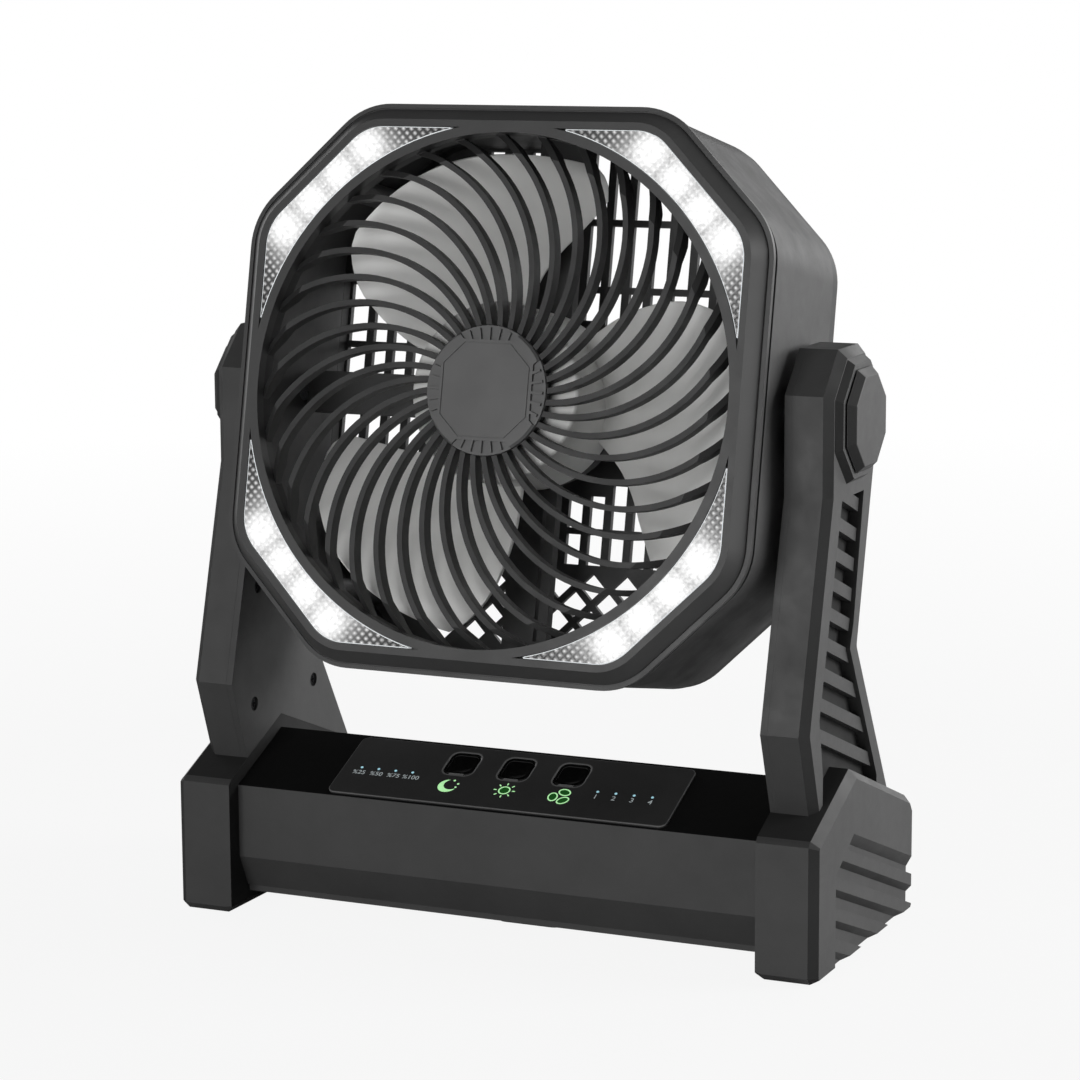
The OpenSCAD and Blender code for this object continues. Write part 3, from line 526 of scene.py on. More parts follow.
class Finish(Enum):
    """The named finishes that a piece can take."""

    # Charcoal ABS of the housings, with the mould's fine spark grain.
    HOUSING = MouldedPlastic("Charcoal ABS, spark grained", "#474747", "#414141")
    # Painted shade: the front corner bevels, the knobs' front bevels, the end caps' front roofs
    # and inner sides and the floor of the arms' rib pockets are drawn dark, where shade falls on
    # them, and dull.
    BEVEL = MouldedPlastic(
        "Charcoal ABS, painted shade", "#2A2A2A", "#252525", (0.62, 0.74), ior=1.35
    )
    # Painted shade: the base's sloping deck round the control panel is drawn a dull near black,
    # for the dark that the light leaves on the slope.
    DECK = MouldedPlastic(
        "Black deck, painted shade", "#0A0A0A", "#070707", (0.62, 0.78), 0.8, 0.02, ior=1.3
    )
    # The head's front rim is smoother, so it carries a longer highlight.
    RIM = MouldedPlastic("Charcoal ABS, satin", "#444444", "#3E3E3E", (0.38, 0.5))
    # The badge in the grille's middle is polished a little and catches more of the light.
    BADGE = MouldedPlastic("Grey ABS, satin", "#626262", "#5A5A5A", (0.36, 0.48))
    # Ribs and lattice are glass-filled nylon, darker and duller than the housings.
    LATTICE = MouldedPlastic("Black glass-filled nylon", "#343434", "#2E2E2E", (0.45, 0.6))
    # Painted highlight: the ribs' rounded edges are drawn lighter and smoother, where they catch
    # the light.
    RIB_HIGHLIGHT = MouldedPlastic(
        "Black glass-filled nylon, painted edge highlight", "#565656", "#4C4C4C", (0.35, 0.5)
    )
    # The control panel is a printed film with a fine matt grain.
    PANEL = MouldedPlastic(
        "Black polycarbonate film", "#3A3A3A", "#343434", (0.4, 0.5), 0.5, 0.01
    )
    # Painted highlight: the film's bevelled edge is drawn light grey where it catches the light,
    # and so is the front lip of a dished well.
    PANEL_EDGE_HIGHLIGHT = MouldedPlastic(
        "Polycarbonate film, painted edge highlight", "#767676", "#6C6C6C", (0.4, 0.5)
    )
    PANEL_LIP_HIGHLIGHT = MouldedPlastic(
        "Polycarbonate film, painted lip highlight", "#8E8E8E", "#828282", (0.35, 0.45)
    )
    BUTTON = MouldedPlastic("Gloss black ABS", "#0C0C0C", "#070707", (0.12, 0.22), 0.5, 0.004)
    BLADE = MouldedPlastic("Light grey polypropylene", "#F4F4F2", "#EAEAE8", (0.34, 0.48))
    RUBBER = MouldedPlastic("Black thermoplastic rubber", "#1B1B1B", "#151515", (0.7, 0.85))
    SLEEVE = MouldedPlastic("Blue shrink sleeve", "#3A78A8", "#2F6590", (0.3, 0.4))
    SOLDER_MASK = MouldedPlastic("Green solder mask", "#1F6A3C", "#185530", (0.35, 0.5))
    STEEL = PlainMetal("Zinc plated steel", "#B9BCC0")
    # The screws beside the arms are drawn in a near-black metal, so only their rims catch the
    # light.
    BLACK_STEEL = PlainMetal("Near-black steel", "#1C1C1E", 0.45)
    LENS = LitLens()
    LENS_EDGE = LitPrint("Clear acrylic, edge lit", "#EEF2F4", 0.5)
    GREEN_PRINT = LitPrint("Green lit print", "#B6F5B0", 0.75)
    GREEN_FILM = LitPrint("Dark green diffusing film", "#1D5A20", 0.35)
    GREY_PRINT = LitPrint("Pale grey lit figures", "#AEB6B8", 0.45)
    BLUE_LAMP = LitPrint("Pale blue lamp", "#9CCBD8", 0.8)


@dataclass
class Workshop:
    """Builds each finish once and puts it on pieces."""

    made: dict[str, bpy.types.Material] = field(default_factory=dict)

    def material(self, finish: Finish) -> bpy.types.Material:
        """Return the material of a finish, built on its first use."""
        if finish.name not in self.made:
            self.made[finish.name] = finish.value.build()
        return self.made[finish.name]

    def dress(self, piece: Piece, *finishes: Finish) -> None:
        """Give a new piece its finishes, of which the first is on every face to start with."""
        piece.data.materials.clear()
        for finish in finishes:
            piece.data.materials.append(self.material(finish))
        for face in piece.data.polygons:
            face.material_index = 0

    def put(self, piece: Piece, material: bpy.types.Material) -> None:
        """Give a piece one material all over and leave its mesh as it is."""
        piece.data.materials.clear()
        piece.data.materials.append(material)


# ---------- modelling helpers ----------

# Points nearer than this become one, in millimetres.
MERGE = 0.02
# Faces that turn by less than this become one flat face, in degrees.
FLAT = 0.5


def deselect_all() -> None:
    """Leave edit mode and deselect every object."""
    if bpy.context.mode != "OBJECT":
        bpy.ops.object.mode_set(mode="OBJECT")
    bpy.ops.object.select_all(action="DESELECT")


def only(piece: Piece) -> None:
    """Select one object alone and make it active."""
    deselect_all()
    piece.select_set(True)
    bpy.context.view_layer.objects.active = piece


def show(thing: Piece) -> Piece:
    """Add an object to the scene and return it."""
    bpy.context.scene.collection.objects.link(thing)
    return thing


def mesh_copy(piece: Piece) -> Piece:
    """Copy an object with a mesh of its own, and add the copy to the scene."""
    copy = piece.copy()
    copy.data = piece.data.copy()
    return show(copy)


def settle(piece: Piece, place: Matrix) -> None:
    """Move a piece modelled in millimetres to its place and leave its object at the origin.

    Args:
        piece: A mesh object modelled in mm in its own coordinates.
        place: The matrix from those coordinates to the object's, in mm.
    """
    only(piece)
    bpy.ops.object.transform_apply(location=True, rotation=True, scale=True)
    piece.data.transform(Matrix.Scale(MM, 4) @ place)
    piece.data.update()


def choose_edges(piece: Piece, test: Test) -> None:
    """Enter edit mode with only the edges selected that pass a test of their two ends."""
    only(piece)
    bpy.ops.object.mode_set(mode="EDIT")
    bpy.ops.mesh.select_mode(type="EDGE")
    bpy.ops.mesh.select_all(action="DESELECT")
    bpy.ops.object.mode_set(mode="OBJECT")
    for edge in piece.data.edges:
        first, second = (piece.data.vertices[i].co for i in edge.vertices)
        edge.select = test(first, second)
    bpy.ops.object.mode_set(mode="EDIT")


def bevel_edges(piece: Piece, test: Test, width: float, steps: int, material: int = -1) -> None:
    """Bevel some edges of a piece.

    Args:
        piece: The mesh object.
        test: Says by its two ends whether an edge is bevelled.
        width: The bevel's width.
        steps: How many faces it has across.
        material: The slot of its finish, or -1 for that of the faces beside it.
    """
    choose_edges(piece, test)
    bpy.ops.mesh.bevel(offset=width, segments=steps, affect="EDGES", material=material)
    bpy.ops.object.mode_set(mode="OBJECT")


def solid_copy(node: str) -> Piece:
    """Copy a node's solid as one clean mesh of its own.

    Args:
        node: The CAD node's name.

    Returns:
        The copy, merged and with its flat faces whole.
    """
    piece = mesh_copy(frame["nodes"][node])
    piece.parent = None
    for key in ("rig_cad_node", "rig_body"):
        if key in piece:
            del piece[key]
    piece.name = f"{node}_skin"
    only(piece)
    if piece.data.has_custom_normals:
        bpy.ops.mesh.customdata_custom_splitnormals_clear()
    bpy.ops.object.mode_set(mode="EDIT")
    bpy.ops.mesh.select_all(action="SELECT")
    bpy.ops.mesh.remove_doubles(threshold=MERGE * MM)
    bpy.ops.mesh.dissolve_limited(angle_limit=math.radians(FLAT))
    bpy.ops.object.mode_set(mode="OBJECT")
    return piece


def modify(piece: Piece, name: str, kind: str, **settings: Any) -> None:
    """Run a modifier on a piece and apply it.

    Args:
        piece: The mesh object.
        name: The modifier's name.
        kind: Blender's name of its kind.
        **settings: Its properties and their values.
    """
    only(piece)
    modifier = piece.modifiers.new(name, kind)
    for key, value in settings.items():
        setattr(modifier, key, value)
    bpy.ops.object.modifier_apply(modifier=modifier.name)


def round_edges(piece: Piece, radius: float, steps: int, angle: float, material: int = -1) -> None:
    """Round the edges of a piece that turn by more than an angle.

    Args:
        piece: The mesh object.
        radius: The rounding's width.
        steps: How many faces it has across.
        angle: The angle, in degrees.
        material: The slot of its finish, or -1 for that of the faces beside it.
    """
    limit = math.radians(angle)
    settings = {"width": radius, "segments": steps, "angle_limit": limit, "material": material}
    modify(piece, "Rounded edges", "BEVEL", limit_method="ANGLE", **settings)


def smooth(piece: Piece, angle: float) -> None:
    """Smooth a piece's rounded edges and keep its flat faces evenly lit.

    Args:
        piece: The mesh object.
        angle: The largest angle between faces that is smoothed, in degrees.
    """
    only(piece)
    bpy.ops.object.shade_smooth_by_angle(angle=math.radians(angle))
    modify(piece, "Even faces", "WEIGHTED_NORMAL", keep_sharp=True)


def stand_for(piece: Piece, node: str) -> None:
    """Let a finished piece stand for a CAD node, on the node's body."""
    bodies = frame["record"]["behaviour"]["bodies"]
    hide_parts(node)
    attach(piece, next(name for name, members in bodies.items() if node in members))
    log.info("made %s", piece.name)


def join(pieces: Sequence[Piece], name: str) -> Piece:
    """Join mesh objects into one.

    Args:
        pieces: The objects, the first of which is kept.
        name: The joined object's name.

    Returns:
        The joined object.
    """
    deselect_all()
    for piece in pieces:
        piece.select_set(True)
    bpy.context.view_layer.objects.active = pieces[0]
    if len(pieces) > 1:
        bpy.ops.object.join()
    pieces[0].name = name
    return pieces[0]


def subtract(piece: Piece, tool: Piece) -> Piece:
    """Cut one object out of another and remove the tool.

    Args:
        piece: The object that is cut.
        tool: What is cut away.

    Returns:
        The cut object.
    """
    modify(piece, "Cut", "BOOLEAN", operation="DIFFERENCE", object=tool)
    bpy.data.objects.remove(tool)
    return piece


# ---------- which faces take painted shade ------------

# How much of a corner bevel's normal lies across the object, and at least how much to the front.
BEVEL_ACROSS = (0.5, 0.87)
BEVEL_FRONT = 0.4
# At least how much of the normal of a cap's front roof lies upwards and to the front.
ROOF_UP = 0.85
ROOF_FRONT = 0.3


def front_bevel(normal: Vector, centre: Vector) -> bool:
    """Say whether a face is a corner bevel that looks to the front; these take painted shade."""
    least, most = BEVEL_ACROSS
    return least < abs(normal.x) < most and normal.y < -BEVEL_FRONT


def cap_shade(normal: Vector, centre: Vector) -> bool:
    """Say whether a face of an end cap takes painted shade: a front bevel, the front roof or the
    inner side.
    """
    inner = abs(normal.x) > SQUARE and normal.x * centre.x < 0.0
    roof = normal.z > ROOF_UP and normal.y < -ROOF_FRONT
    return inner or roof or front_bevel(normal, centre)


def arm_shade(normal: Vector, centre: Vector) -> bool:
    """Say whether a face of an arm takes painted shade: a front bevel or the floor of the pocket
    behind its ribs.
    """
    outer = abs(normal.x) > SQUARE and normal.x * centre.x > 0.0
    floor = outer and abs(centre.x) < LAYOUT.pocket_x * MM
    return floor or front_bevel(normal, centre)


def shaded_deck(normal: Vector, centre: Vector) -> bool:
    """Say whether a face belongs to the deck that takes painted shade, which ends just past its
    front edge.
    """
    out = LAYOUT.slope_out()
    edge = out.dot(Vector((0.0, LAYOUT.slope_y, LAYOUT.slope_z))) * MM
    return centre.dot(out) > edge - LAYOUT.shade_past * MM


# ---------- the object's own pieces ----------


@dataclass
class RoundedHousing:
    """A moulded piece whose sharp solid edges get the small radius that a mould leaves."""

    node: str
    finish: Finish
    radius_mm: float = 0.5
    steps: int = 2
    angle: float = 32.0
    # The edge finish goes on the rounded edges: a lit edge on the lenses and a painted highlight
    # on the grille's ribs.
    edge: Finish | None = None
    # The last finish is painted shade, on the faces that the test below picks.
    area: Finish | None = None
    area_test: Test = front_bevel

    def build(self, shop: Workshop) -> None:
        """Copy the node's solid, round its edges and dress it.

        Args:
            shop: Where the finishes come from.
        """
        piece = solid_copy(self.node)
        shop.dress(piece, self.finish, self.edge or self.finish, self.area or self.finish)
        round_edges(piece, self.radius_mm * MM, self.steps, self.angle, material=1)
        smooth(piece, self.angle)
        # Painted shade on the faces that the test picks.
        if self.area is not None:
            for face in piece.data.polygons:
                if self.area_test(face.normal, face.center):
                    face.material_index = 2
        stand_for(piece, self.node)


@dataclass
class NodeDress:
    """Puts finishes on the CAD nodes, by how their names start."""

    plain: Finish = Finish.HOUSING
    starts: tuple[tuple[Finish, tuple[str, ...]], ...] = (
        (Finish.STEEL, ("rear_screws", "base_screws", "charge_port", "pivot_pin")),
        (Finish.STEEL, ("motor_body", "motor_shaft")),
        (Finish.BLACK_STEEL, ("arm_screws",)),
        (Finish.RUBBER, ("foot_", "washer")),
        (Finish.LATTICE, ("front_grille", "rear_grille", "motor_mount", "battery_tray")),
        (Finish.SLEEVE, ("battery_cells",)),
        (Finish.SOLDER_MASK, ("control_board",)),
        (Finish.PANEL, ("control_panel",)),
        (Finish.BUTTON, ("button_",)),
        (Finish.BLUE_LAMP, ("charge_leds", "speed_leds")),
        (Finish.BLADE, ("impeller",)),
        (Finish.LENS, ("lens_",)),
        (Finish.RIM, ("head_bezel",)),
    )

    def build(self, shop: Workshop) -> None:
        """Dress every node in the finish that the start of its name calls for."""
        for name, node in frame["nodes"].items():
            found = (finish for finish, starts in self.starts if name.startswith(starts))
            finish = next(found, self.plain)
            shop.put(node, shop.material(finish))
            log.info("dressed %s in %s", name, finish.name)


@dataclass
class Rotor:
    """The impeller: a cupped hub with cambered blades.

    front and rear give a blade's two edges as shares of its length, from 0 at the hub to 1 at the
    tip, and angles in degrees. The blade lies on a slightly curved sheet and bulges forward.
    """

    hub_r: float = 32.0
    hub_front: float = 39.6
    hub_back: float = 4.0
    hub_wall: float = 2.2
    hub_round: float = 1.5
    boss_r: float = 6.0
    boss_front: float = 38.0
    boss_back: float = 26.0
    boss_round: float = 0.5
    tip_r: float = 86.0
    blade_t: float = 2.0
    blade_round: float = 0.6
    blade_angle: float = 50.0
    smooth_angle: float = 35.0
    blade_count: int = 3
    first_turn: float = -2.0
    root: float = -0.03
    sheet_r: float = 220.0
    sheet_x: float = 57.0
    sheet_low: float = 5.5
    sheet_turn: float = 26.0
    camber: float = 21.0
    camber_skew: float = 0.85
    camber_rise: float = 1.5
    front: tuple[Pair, ...] = (
        (-0.03, 97.0),
        (0.09, 94.0),
        (0.24, 90.0),
        (0.39, 85.0),
        (0.54, 80.0),
        (0.69, 76.5),
        (0.81, 74.5),
        (0.93, 76.5),
        (1.0, 80.5),
    )
    rear: tuple[Pair, ...] = (
        (-0.03, 162.0),
        (0.26, 159.5),
        (0.44, 157.0),
        (0.65, 153.5),
        (0.78, 150.5),
        (0.89, 147.0),
        (0.96, 144.0),
        (1.0, 141.5),
    )

    def angle_at(self, edge: Sequence[Pair], share: float) -> float:
        """Return an edge's angle at a share of the blade's length, in degrees."""
        for (low, first), (high, second) in zip(edge, edge[1:]):
            if share <= high:
                return first + (second - first) * (share - low) / (high - low)
        return edge[-1][1]

    def blade_point(self, across: float, share: float) -> Vector:
        """Place one point of the blade's middle surface.

        Args:
            across: From 0 at the front edge to 1 at the rear edge.
            share: From 0 at the hub to 1 at the tip.

        Returns:
            The point, in mm, in the rotor's own coordinates.
        """
        first = self.angle_at(self.front, share)
        turn = first + (self.angle_at(self.rear, share) - first) * across
        radius = self.hub_r + share * (self.tip_r - self.hub_r)
        off = radius * math.cos(math.radians(turn - self.sheet_turn)) - self.sheet_x
        sheet = self.sheet_low + self.sheet_r - math.sqrt(self.sheet_r**2 - off**2)
        bulge = math.sin(math.pi * across**self.camber_skew)
        bulge *= max(share, 0.0) ** self.camber_rise
        angle = math.radians(turn)
        height = sheet + self.camber * bulge
        return Vector((radius * math.cos(angle), radius * math.sin(angle), height))

    def blade(self) -> Piece:
        """Make one blade from a grid that is bent to its outline and camber."""
        deselect_all()
        bpy.ops.mesh.primitive_grid_add(x_subdivisions=32, y_subdivisions=22, size=1.0)
        piece = bpy.context.object
        for point in piece.data.vertices:
            share = self.root + (point.co.y + 0.5) * (1.0 - self.root)
            point.co = self.blade_point(point.co.x + 0.5, share)
        modify(piece, "Wall", "SOLIDIFY", thickness=self.blade_t, offset=0.0)
        round_edges(piece, self.blade_round, 2, self.blade_angle)
        return piece

    def bar(self, radius: float, low: float, high: float, sides: int) -> Piece:
        """Add a round bar on the axis, from one height to another."""
        deselect_all()
        middle = (0.0, 0.0, (low + high) / 2.0)
        bpy.ops.mesh.primitive_cylinder_add(
            vertices=sides, radius=radius, depth=high - low, location=middle
        )
        piece = bpy.context.object
        bpy.ops.object.transform_apply(location=True, rotation=False, scale=False)
        return piece

    def hub(self) -> Piece:
        """Make the cup that covers the motor."""
        piece = self.bar(self.hub_r, self.hub_back, self.hub_front, 96)
        rim = self.hub_front - LEVEL
        bevel_edges(piece, lambda a, b: min(a.z, b.z) > rim, self.hub_round, 4)
        bpy.ops.object.mode_set(mode="EDIT")
        bpy.ops.mesh.select_mode(type="FACE")
        bpy.ops.object.mode_set(mode="OBJECT")
        for face in piece.data.polygons:
            face.select = face.normal.z < -SQUARE
        bpy.ops.object.mode_set(mode="EDIT")
        bpy.ops.mesh.inset(thickness=self.hub_wall)
        deep = self.hub_front - self.hub_back - self.hub_wall
        bpy.ops.mesh.extrude_region_move(TRANSFORM_OT_translate={"value": (0.0, 0.0, deep)})
        bpy.ops.object.mode_set(mode="OBJECT")
        return piece

    def boss(self) -> Piece:
        """Make the boss in the hub that takes the shaft."""
        piece = self.bar(self.boss_r, self.boss_back, self.boss_front, 48)
        rim = self.boss_back + LEVEL
        bevel_edges(piece, lambda a, b: max(a.z, b.z) < rim, self.boss_round, 2)
        return piece

    def build(self, shop: Workshop) -> None:
        """Make the hub and its blades as one moulding."""
        blades = [self.blade()]
        blades += [mesh_copy(blades[0]) for _ in range(self.blade_count - 1)]
        for k, blade in enumerate(blades):
            turn = self.first_turn + k * 360.0 / self.blade_count
            blade.data.transform(Matrix.Rotation(math.radians(turn), 4, "Z"))
        piece = join([self.hub(), self.boss(), *blades], "impeller_skin")
        only(piece)
        bpy.ops.object.mode_set(mode="EDIT")
        bpy.ops.mesh.select_all(action="SELECT")
        bpy.ops.mesh.normals_make_consistent(inside=False)
        bpy.ops.object.mode_set(mode="OBJECT")
        settle(piece, LAYOUT.head())
        smooth(piece, self.smooth_angle)
        shop.dress(piece, Finish.BLADE)
        stand_for(piece, "impeller")


@dataclass
class CornerLights:
    """The four lit boards behind the crescent lenses."""

    chip_out: float = 98.4
    chip_across: tuple[float, ...] = (-21.0, -7.0, 7.0, 21.0)
    chip_up: float = 39.0
    corners: tuple[tuple[str, float], ...] = (
        ("light_board_top_right", 45.0),
        ("light_board_top_left", 135.0),
        ("light_board_bottom_left", 225.0),
        ("light_board_bottom_right", 315.0),
    )

    def build(self, shop: Workshop) -> None:
        """Give each board a lit material round its own chips."""
        place = LAYOUT.head()
        for node, angle in self.corners:
            turn = Matrix.Rotation(math.radians(angle), 4, "Z")
            centres = tuple(
                tuple((place @ turn @ Vector((self.chip_out, t, self.chip_up))) * MM)
                for t in self.chip_across
            )
            look = LitChipBoard(f"Lit board {angle:.0f}", centres=centres)
            shop.put(frame["nodes"][node], look.build())
            log.info("lit %s", node)


@dataclass
class PanelSkin:
    """The control panel with dished button wells, and painted highlights on its bevelled edge and
    each well's front lip.
    """

    face: float = 0.9
    well_w: float = 12.4
    well_len: float = 13.8
    well_deep: float = 0.4
    well_shift: float = -0.5
    well_corner: float = 2.9
    hole: float = 11.4
    button_x: tuple[float, ...] = (-21.7, 0.0, 21.7)
    button_y: float = 24.9
    lamp_x: Pair = (32.0, 62.0)
    lamp_y: Pair = (14.5, 18.5)
    lip_w: float = 6.0
    edge: float = 0.35
    smooth_angle: float = 30.0
    # How far past a well its own faces may lie, across, up the slope and in depth.
    slack: Spot = (0.2, 0.8, 0.02)
    # At least how much of the normal of a well's flared wall lies outwards.
    flare: float = 0.3
    rims: dict[tuple[float, ...], int] = field(default_factory=dict)

    def cutter(self, x: float) -> Piece:
        """Make the flared block that dishes the panel round one button.

        Args:
            x: The button's place across the panel.

        Returns:
            The block, in place on the panel.
        """
        deselect_all()
        bpy.ops.mesh.primitive_cube_add(size=1.0, location=(x, self.button_y, self.face))
        tool = bpy.context.object
        tool.scale = (self.hole, self.hole, 2.0 * self.well_deep)
        bpy.ops.object.transform_apply(location=True, rotation=False, scale=True)
        bevel_edges(tool, lambda a, b: abs(a.z - b.z) > self.well_deep, self.well_corner, 6)
        choose_edges(tool, lambda a, b: min(a.z, b.z) > self.face)
        middle = (x, self.button_y, self.face + self.well_deep)
        wide = 2.0 * self.well_w / self.hole - 1.0
        tall = 2.0 * self.well_len / self.hole - 1.0
        bpy.ops.transform.resize(value=(wide, tall, 1.0), center_override=middle)
        bpy.ops.transform.translate(value=(0.0, 2.0 * self.well_shift, 0.0))
        bpy.ops.object.mode_set(mode="OBJECT")
        return tool

    @staticmethod
    def key(first: Vector, second: Vector) -> tuple[float, ...]:
        """Return one name for an edge, whichever end comes first."""
        ends = sorted(tuple(round(c, 4) for c in end) for end in (first, second))
        return ends[0] + ends[1]

    def find_rims(self, piece: Piece) -> None:
        """Count how many faces of the panel's top share each edge; a rim has one."""
        points = piece.data.vertices
        for face in piece.data.polygons:
            if face.normal.z > SQUARE and abs(face.center.z - self.face) < LEVEL:
                for first, second in face.edge_keys:
                    name = self.key(points[first].co, points[second].co)
                    self.rims[name] = self.rims.get(name, 0) + 1

    def outline(self, first: Vector, second: Vector) -> bool:
        """Say whether an edge lies on the panel's face round its outline or a well."""
        flat = all(abs(end.z - self.face) < LEVEL for end in (first, second))
        (near, far), (low, high) = self.lamp_x, self.lamp_y
        lamp = near < abs(first.x) < far and low < first.y < high
        return flat and not lamp and self.rims.get(self.key(first, second), 0) == 1

    def from_button(self, place: Vector) -> float:
        """Return how far to the side the nearest button's middle is."""
        return min(abs(place.x - x) for x in self.button_x)

    def in_well(self, normal: Vector, centre: Vector) -> bool:
        """Say whether a face is part of a well's floor or flared wall."""
        wide, tall, deep = self.slack
        across = self.from_button(centre) < self.well_w / 2.0 + wide
        along = abs(centre.y - self.button_y) < self.well_len / 2.0 + tall
        sunk = self.face - self.well_deep - deep < centre.z < self.face - deep
        return across and along and sunk and normal.z > self.flare

    def build(self, shop: Workshop) -> None:
        """Dish the wells, bevel the rims and dress the panel."""
        piece = solid_copy("control_panel")
        piece.data.transform((Matrix.Scale(MM, 4) @ LAYOUT.slope()).inverted())
        shop.dress(piece, Finish.PANEL, Finish.PANEL_EDGE_HIGHLIGHT, Finish.BUTTON, Finish.PANEL_LIP_HIGHLIGHT)
        for x in self.button_x:
            subtract(piece, self.cutter(x))
        self.find_rims(piece)
        # Painted highlight on the panel's bevelled outline.
        bevel_edges(piece, self.outline, self.edge, 2, material=1)
        # The front middle of each well's lip takes a painted highlight; the rest of a well takes
        # the button's gloss black.
        for face in piece.data.polygons:
            if face.material_index != 1 and self.in_well(face.normal, face.center):
                front = face.center.y < self.button_y - self.hole / 2.0
                middle = self.from_button(face.center) < self.lip_w / 2.0
                face.material_index = 3 if front and middle else 2
        settle(piece, LAYOUT.slope())
        smooth(piece, self.smooth_angle)
        stand_for(piece, "control_panel")


@dataclass
class PanelPrint:
    """Icons and figures printed on the control panel, in mm across and up the slope."""

    ink_up: float = 0.93
    ink_thick: float = 0.04
    film_drop: float = 0.02
    hole_tall: float = 8.0
    line: float = 0.5
    moon: Pair = (-21.9, 11.0)
    moon_r: float = 3.6
    bite: Spot = (1.3, 1.0, 3.0)
    stars: tuple[Spot, ...] = ((1.5, 3.4, 0.45), (3.6, 1.7, 0.45), (3.4, -0.3, 0.4))
    sun: Pair = (0.4, 11.8)
    sun_r: float = 2.3
    sun_film_r: float = 2.0
    ray: Pair = (1.1, 0.45)
    ray_out: float = 3.6
    fan: Pair = (22.3, 11.6)
    petal: Pair = (1.9, 2.5)
    petal_film: Pair = (1.7, 2.3)
    petal_turns: Spot = (72.0, 192.0, 312.0)
    petal_out: float = 2.7
    number_y: float = 13.6
    number_step: float = 7.0
    charge_x: float = -58.9
    charge_high: float = 3.1
    speed_x: float = 35.1
    speed_high: float = 3.4

    def oval(
        self, x: float, y: float, a: float, b: float, turn: float = 0.0, drop: float = 0.0
    ) -> Piece:
        """Add a flat printed oval on the slope.

        Args:
            x: Its middle across the slope, in mm.
            y: Its middle up the slope.
            a: Half its length.
            b: Half its width.
            turn: The angle of its length from the X axis, in degrees.
            drop: How far it lies under the top print.

        Returns:
            The oval.
        """
        deselect_all()
        bpy.ops.mesh.primitive_cylinder_add(
            vertices=40,
            radius=1.0,
            depth=self.ink_thick,
            location=(x, y, self.ink_up - drop),
            rotation=(0.0, 0.0, math.radians(turn)),
        )
        piece = bpy.context.object
        piece.scale = (a, b, 1.0)
        return piece

    def hole(self, x: float, y: float, a: float, b: float, turn: float) -> Piece:
        """Add a tall oval that cuts right through the ink."""
        piece = self.oval(x, y, a, b, turn)
        piece.scale = (a, b, self.hole_tall)
        return piece

    def bar(self, x: float, y: float, w: float, h: float, turn: float) -> Piece:
        """Add a flat printed bar on the slope, in mm, turned by some degrees."""
        deselect_all()
        bpy.ops.mesh.primitive_cube_add(size=1.0, location=(x, y, self.ink_up))
        piece = bpy.context.object
        piece.scale = (w, h, self.ink_thick)
        piece.rotation_euler = (0.0, 0.0, math.radians(turn))
        return piece

    def loop(self, x: float, y: float, a: float, b: float, turn: float) -> Piece:
        """Add a printed line round an oval."""
        inner = self.hole(x, y, a - self.line, b - self.line, turn)
        return subtract(self.oval(x, y, a, b, turn), inner)

    def ways(self, middle: Pair, away: float, turns: Sequence[float]) -> list[Spot]:
        """Return a place and an angle for each turn round a middle."""
        return [
            (
                middle[0] + away * math.cos(math.radians(turn)),
                middle[1] + away * math.sin(math.radians(turn)),
                turn,
            )
            for turn in turns
        ]

    def place(self, pieces: Sequence[Piece], name: str, shop: Workshop, finish: Finish) -> None:
        """Put printed pieces on the slope of the base as one.

        Args:
            pieces: The flat pieces.
            name: The name that they take together.
            shop: Where the finishes come from.
            finish: Their ink.
        """
        piece = join(pieces, name)
        settle(piece, LAYOUT.slope())
        shop.dress(piece, finish)
        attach(piece, "base")
        log.info("printed %s", name)

    def build_moon(self, shop: Workshop) -> None:
        """Print the crescent and its three dots."""
        x, y = self.moon
        right, up, size = self.bite
        bite = self.hole(x + right, y + up, size, size, 0.0)
        moon = subtract(self.oval(x, y, self.moon_r, self.moon_r), bite)
        stars = [self.oval(x + dx, y + dy, r, r) for dx, dy, r in self.stars]
        self.place([moon, *stars], "icon_night", shop, Finish.GREEN_PRINT)

    def build_sun(self, shop: Workshop) -> None:
        """Print the ring with its eight rays, over a dark film."""
        ways = self.ways(self.sun, self.ray_out, range(0, 360, 45))
        rays = [self.bar(x, y, *self.ray, turn) for x, y, turn in ways]
        ring = self.loop(*self.sun, self.sun_r, self.sun_r, 0.0)
        self.place([ring, *rays], "icon_light", shop, Finish.GREEN_PRINT)
        film = self.oval(*self.sun, self.sun_film_r, self.sun_film_r, drop=self.film_drop)
        self.place([film], "icon_light_film", shop, Finish.GREEN_FILM)

    def build_fan(self, shop: Workshop) -> None:
        """Print the three looped blades, over a dark film."""
        ways = self.ways(self.fan, self.petal_out, self.petal_turns)
        loops = [self.loop(x, y, *self.petal, turn) for x, y, turn in ways]
        self.place(loops, "icon_fan", shop, Finish.GREEN_PRINT)
        film, drop = self.petal_film, self.film_drop
        films = [self.oval(x, y, *film, turn, drop) for x, y, turn in ways]
        self.place(films, "icon_fan_film", shop, Finish.GREEN_FILM)

    def write(self, words: str, x: float, high: float, shop: Workshop, name: str) -> None:
        """Print one number on the slope."""
        deselect_all()
        low = self.ink_up - self.ink_thick / 2.0
        bpy.ops.object.text_add(location=(x, self.number_y, low))
        piece = bpy.context.object
        piece.data.body = words
        piece.data.size = high
        piece.data.align_x = "CENTER"
        piece.data.align_y = "CENTER"
        piece.data.extrude = self.ink_thick / 2.0
        bpy.ops.object.convert(target="MESH")
        self.place([bpy.context.object], name, shop, Finish.GREY_PRINT)

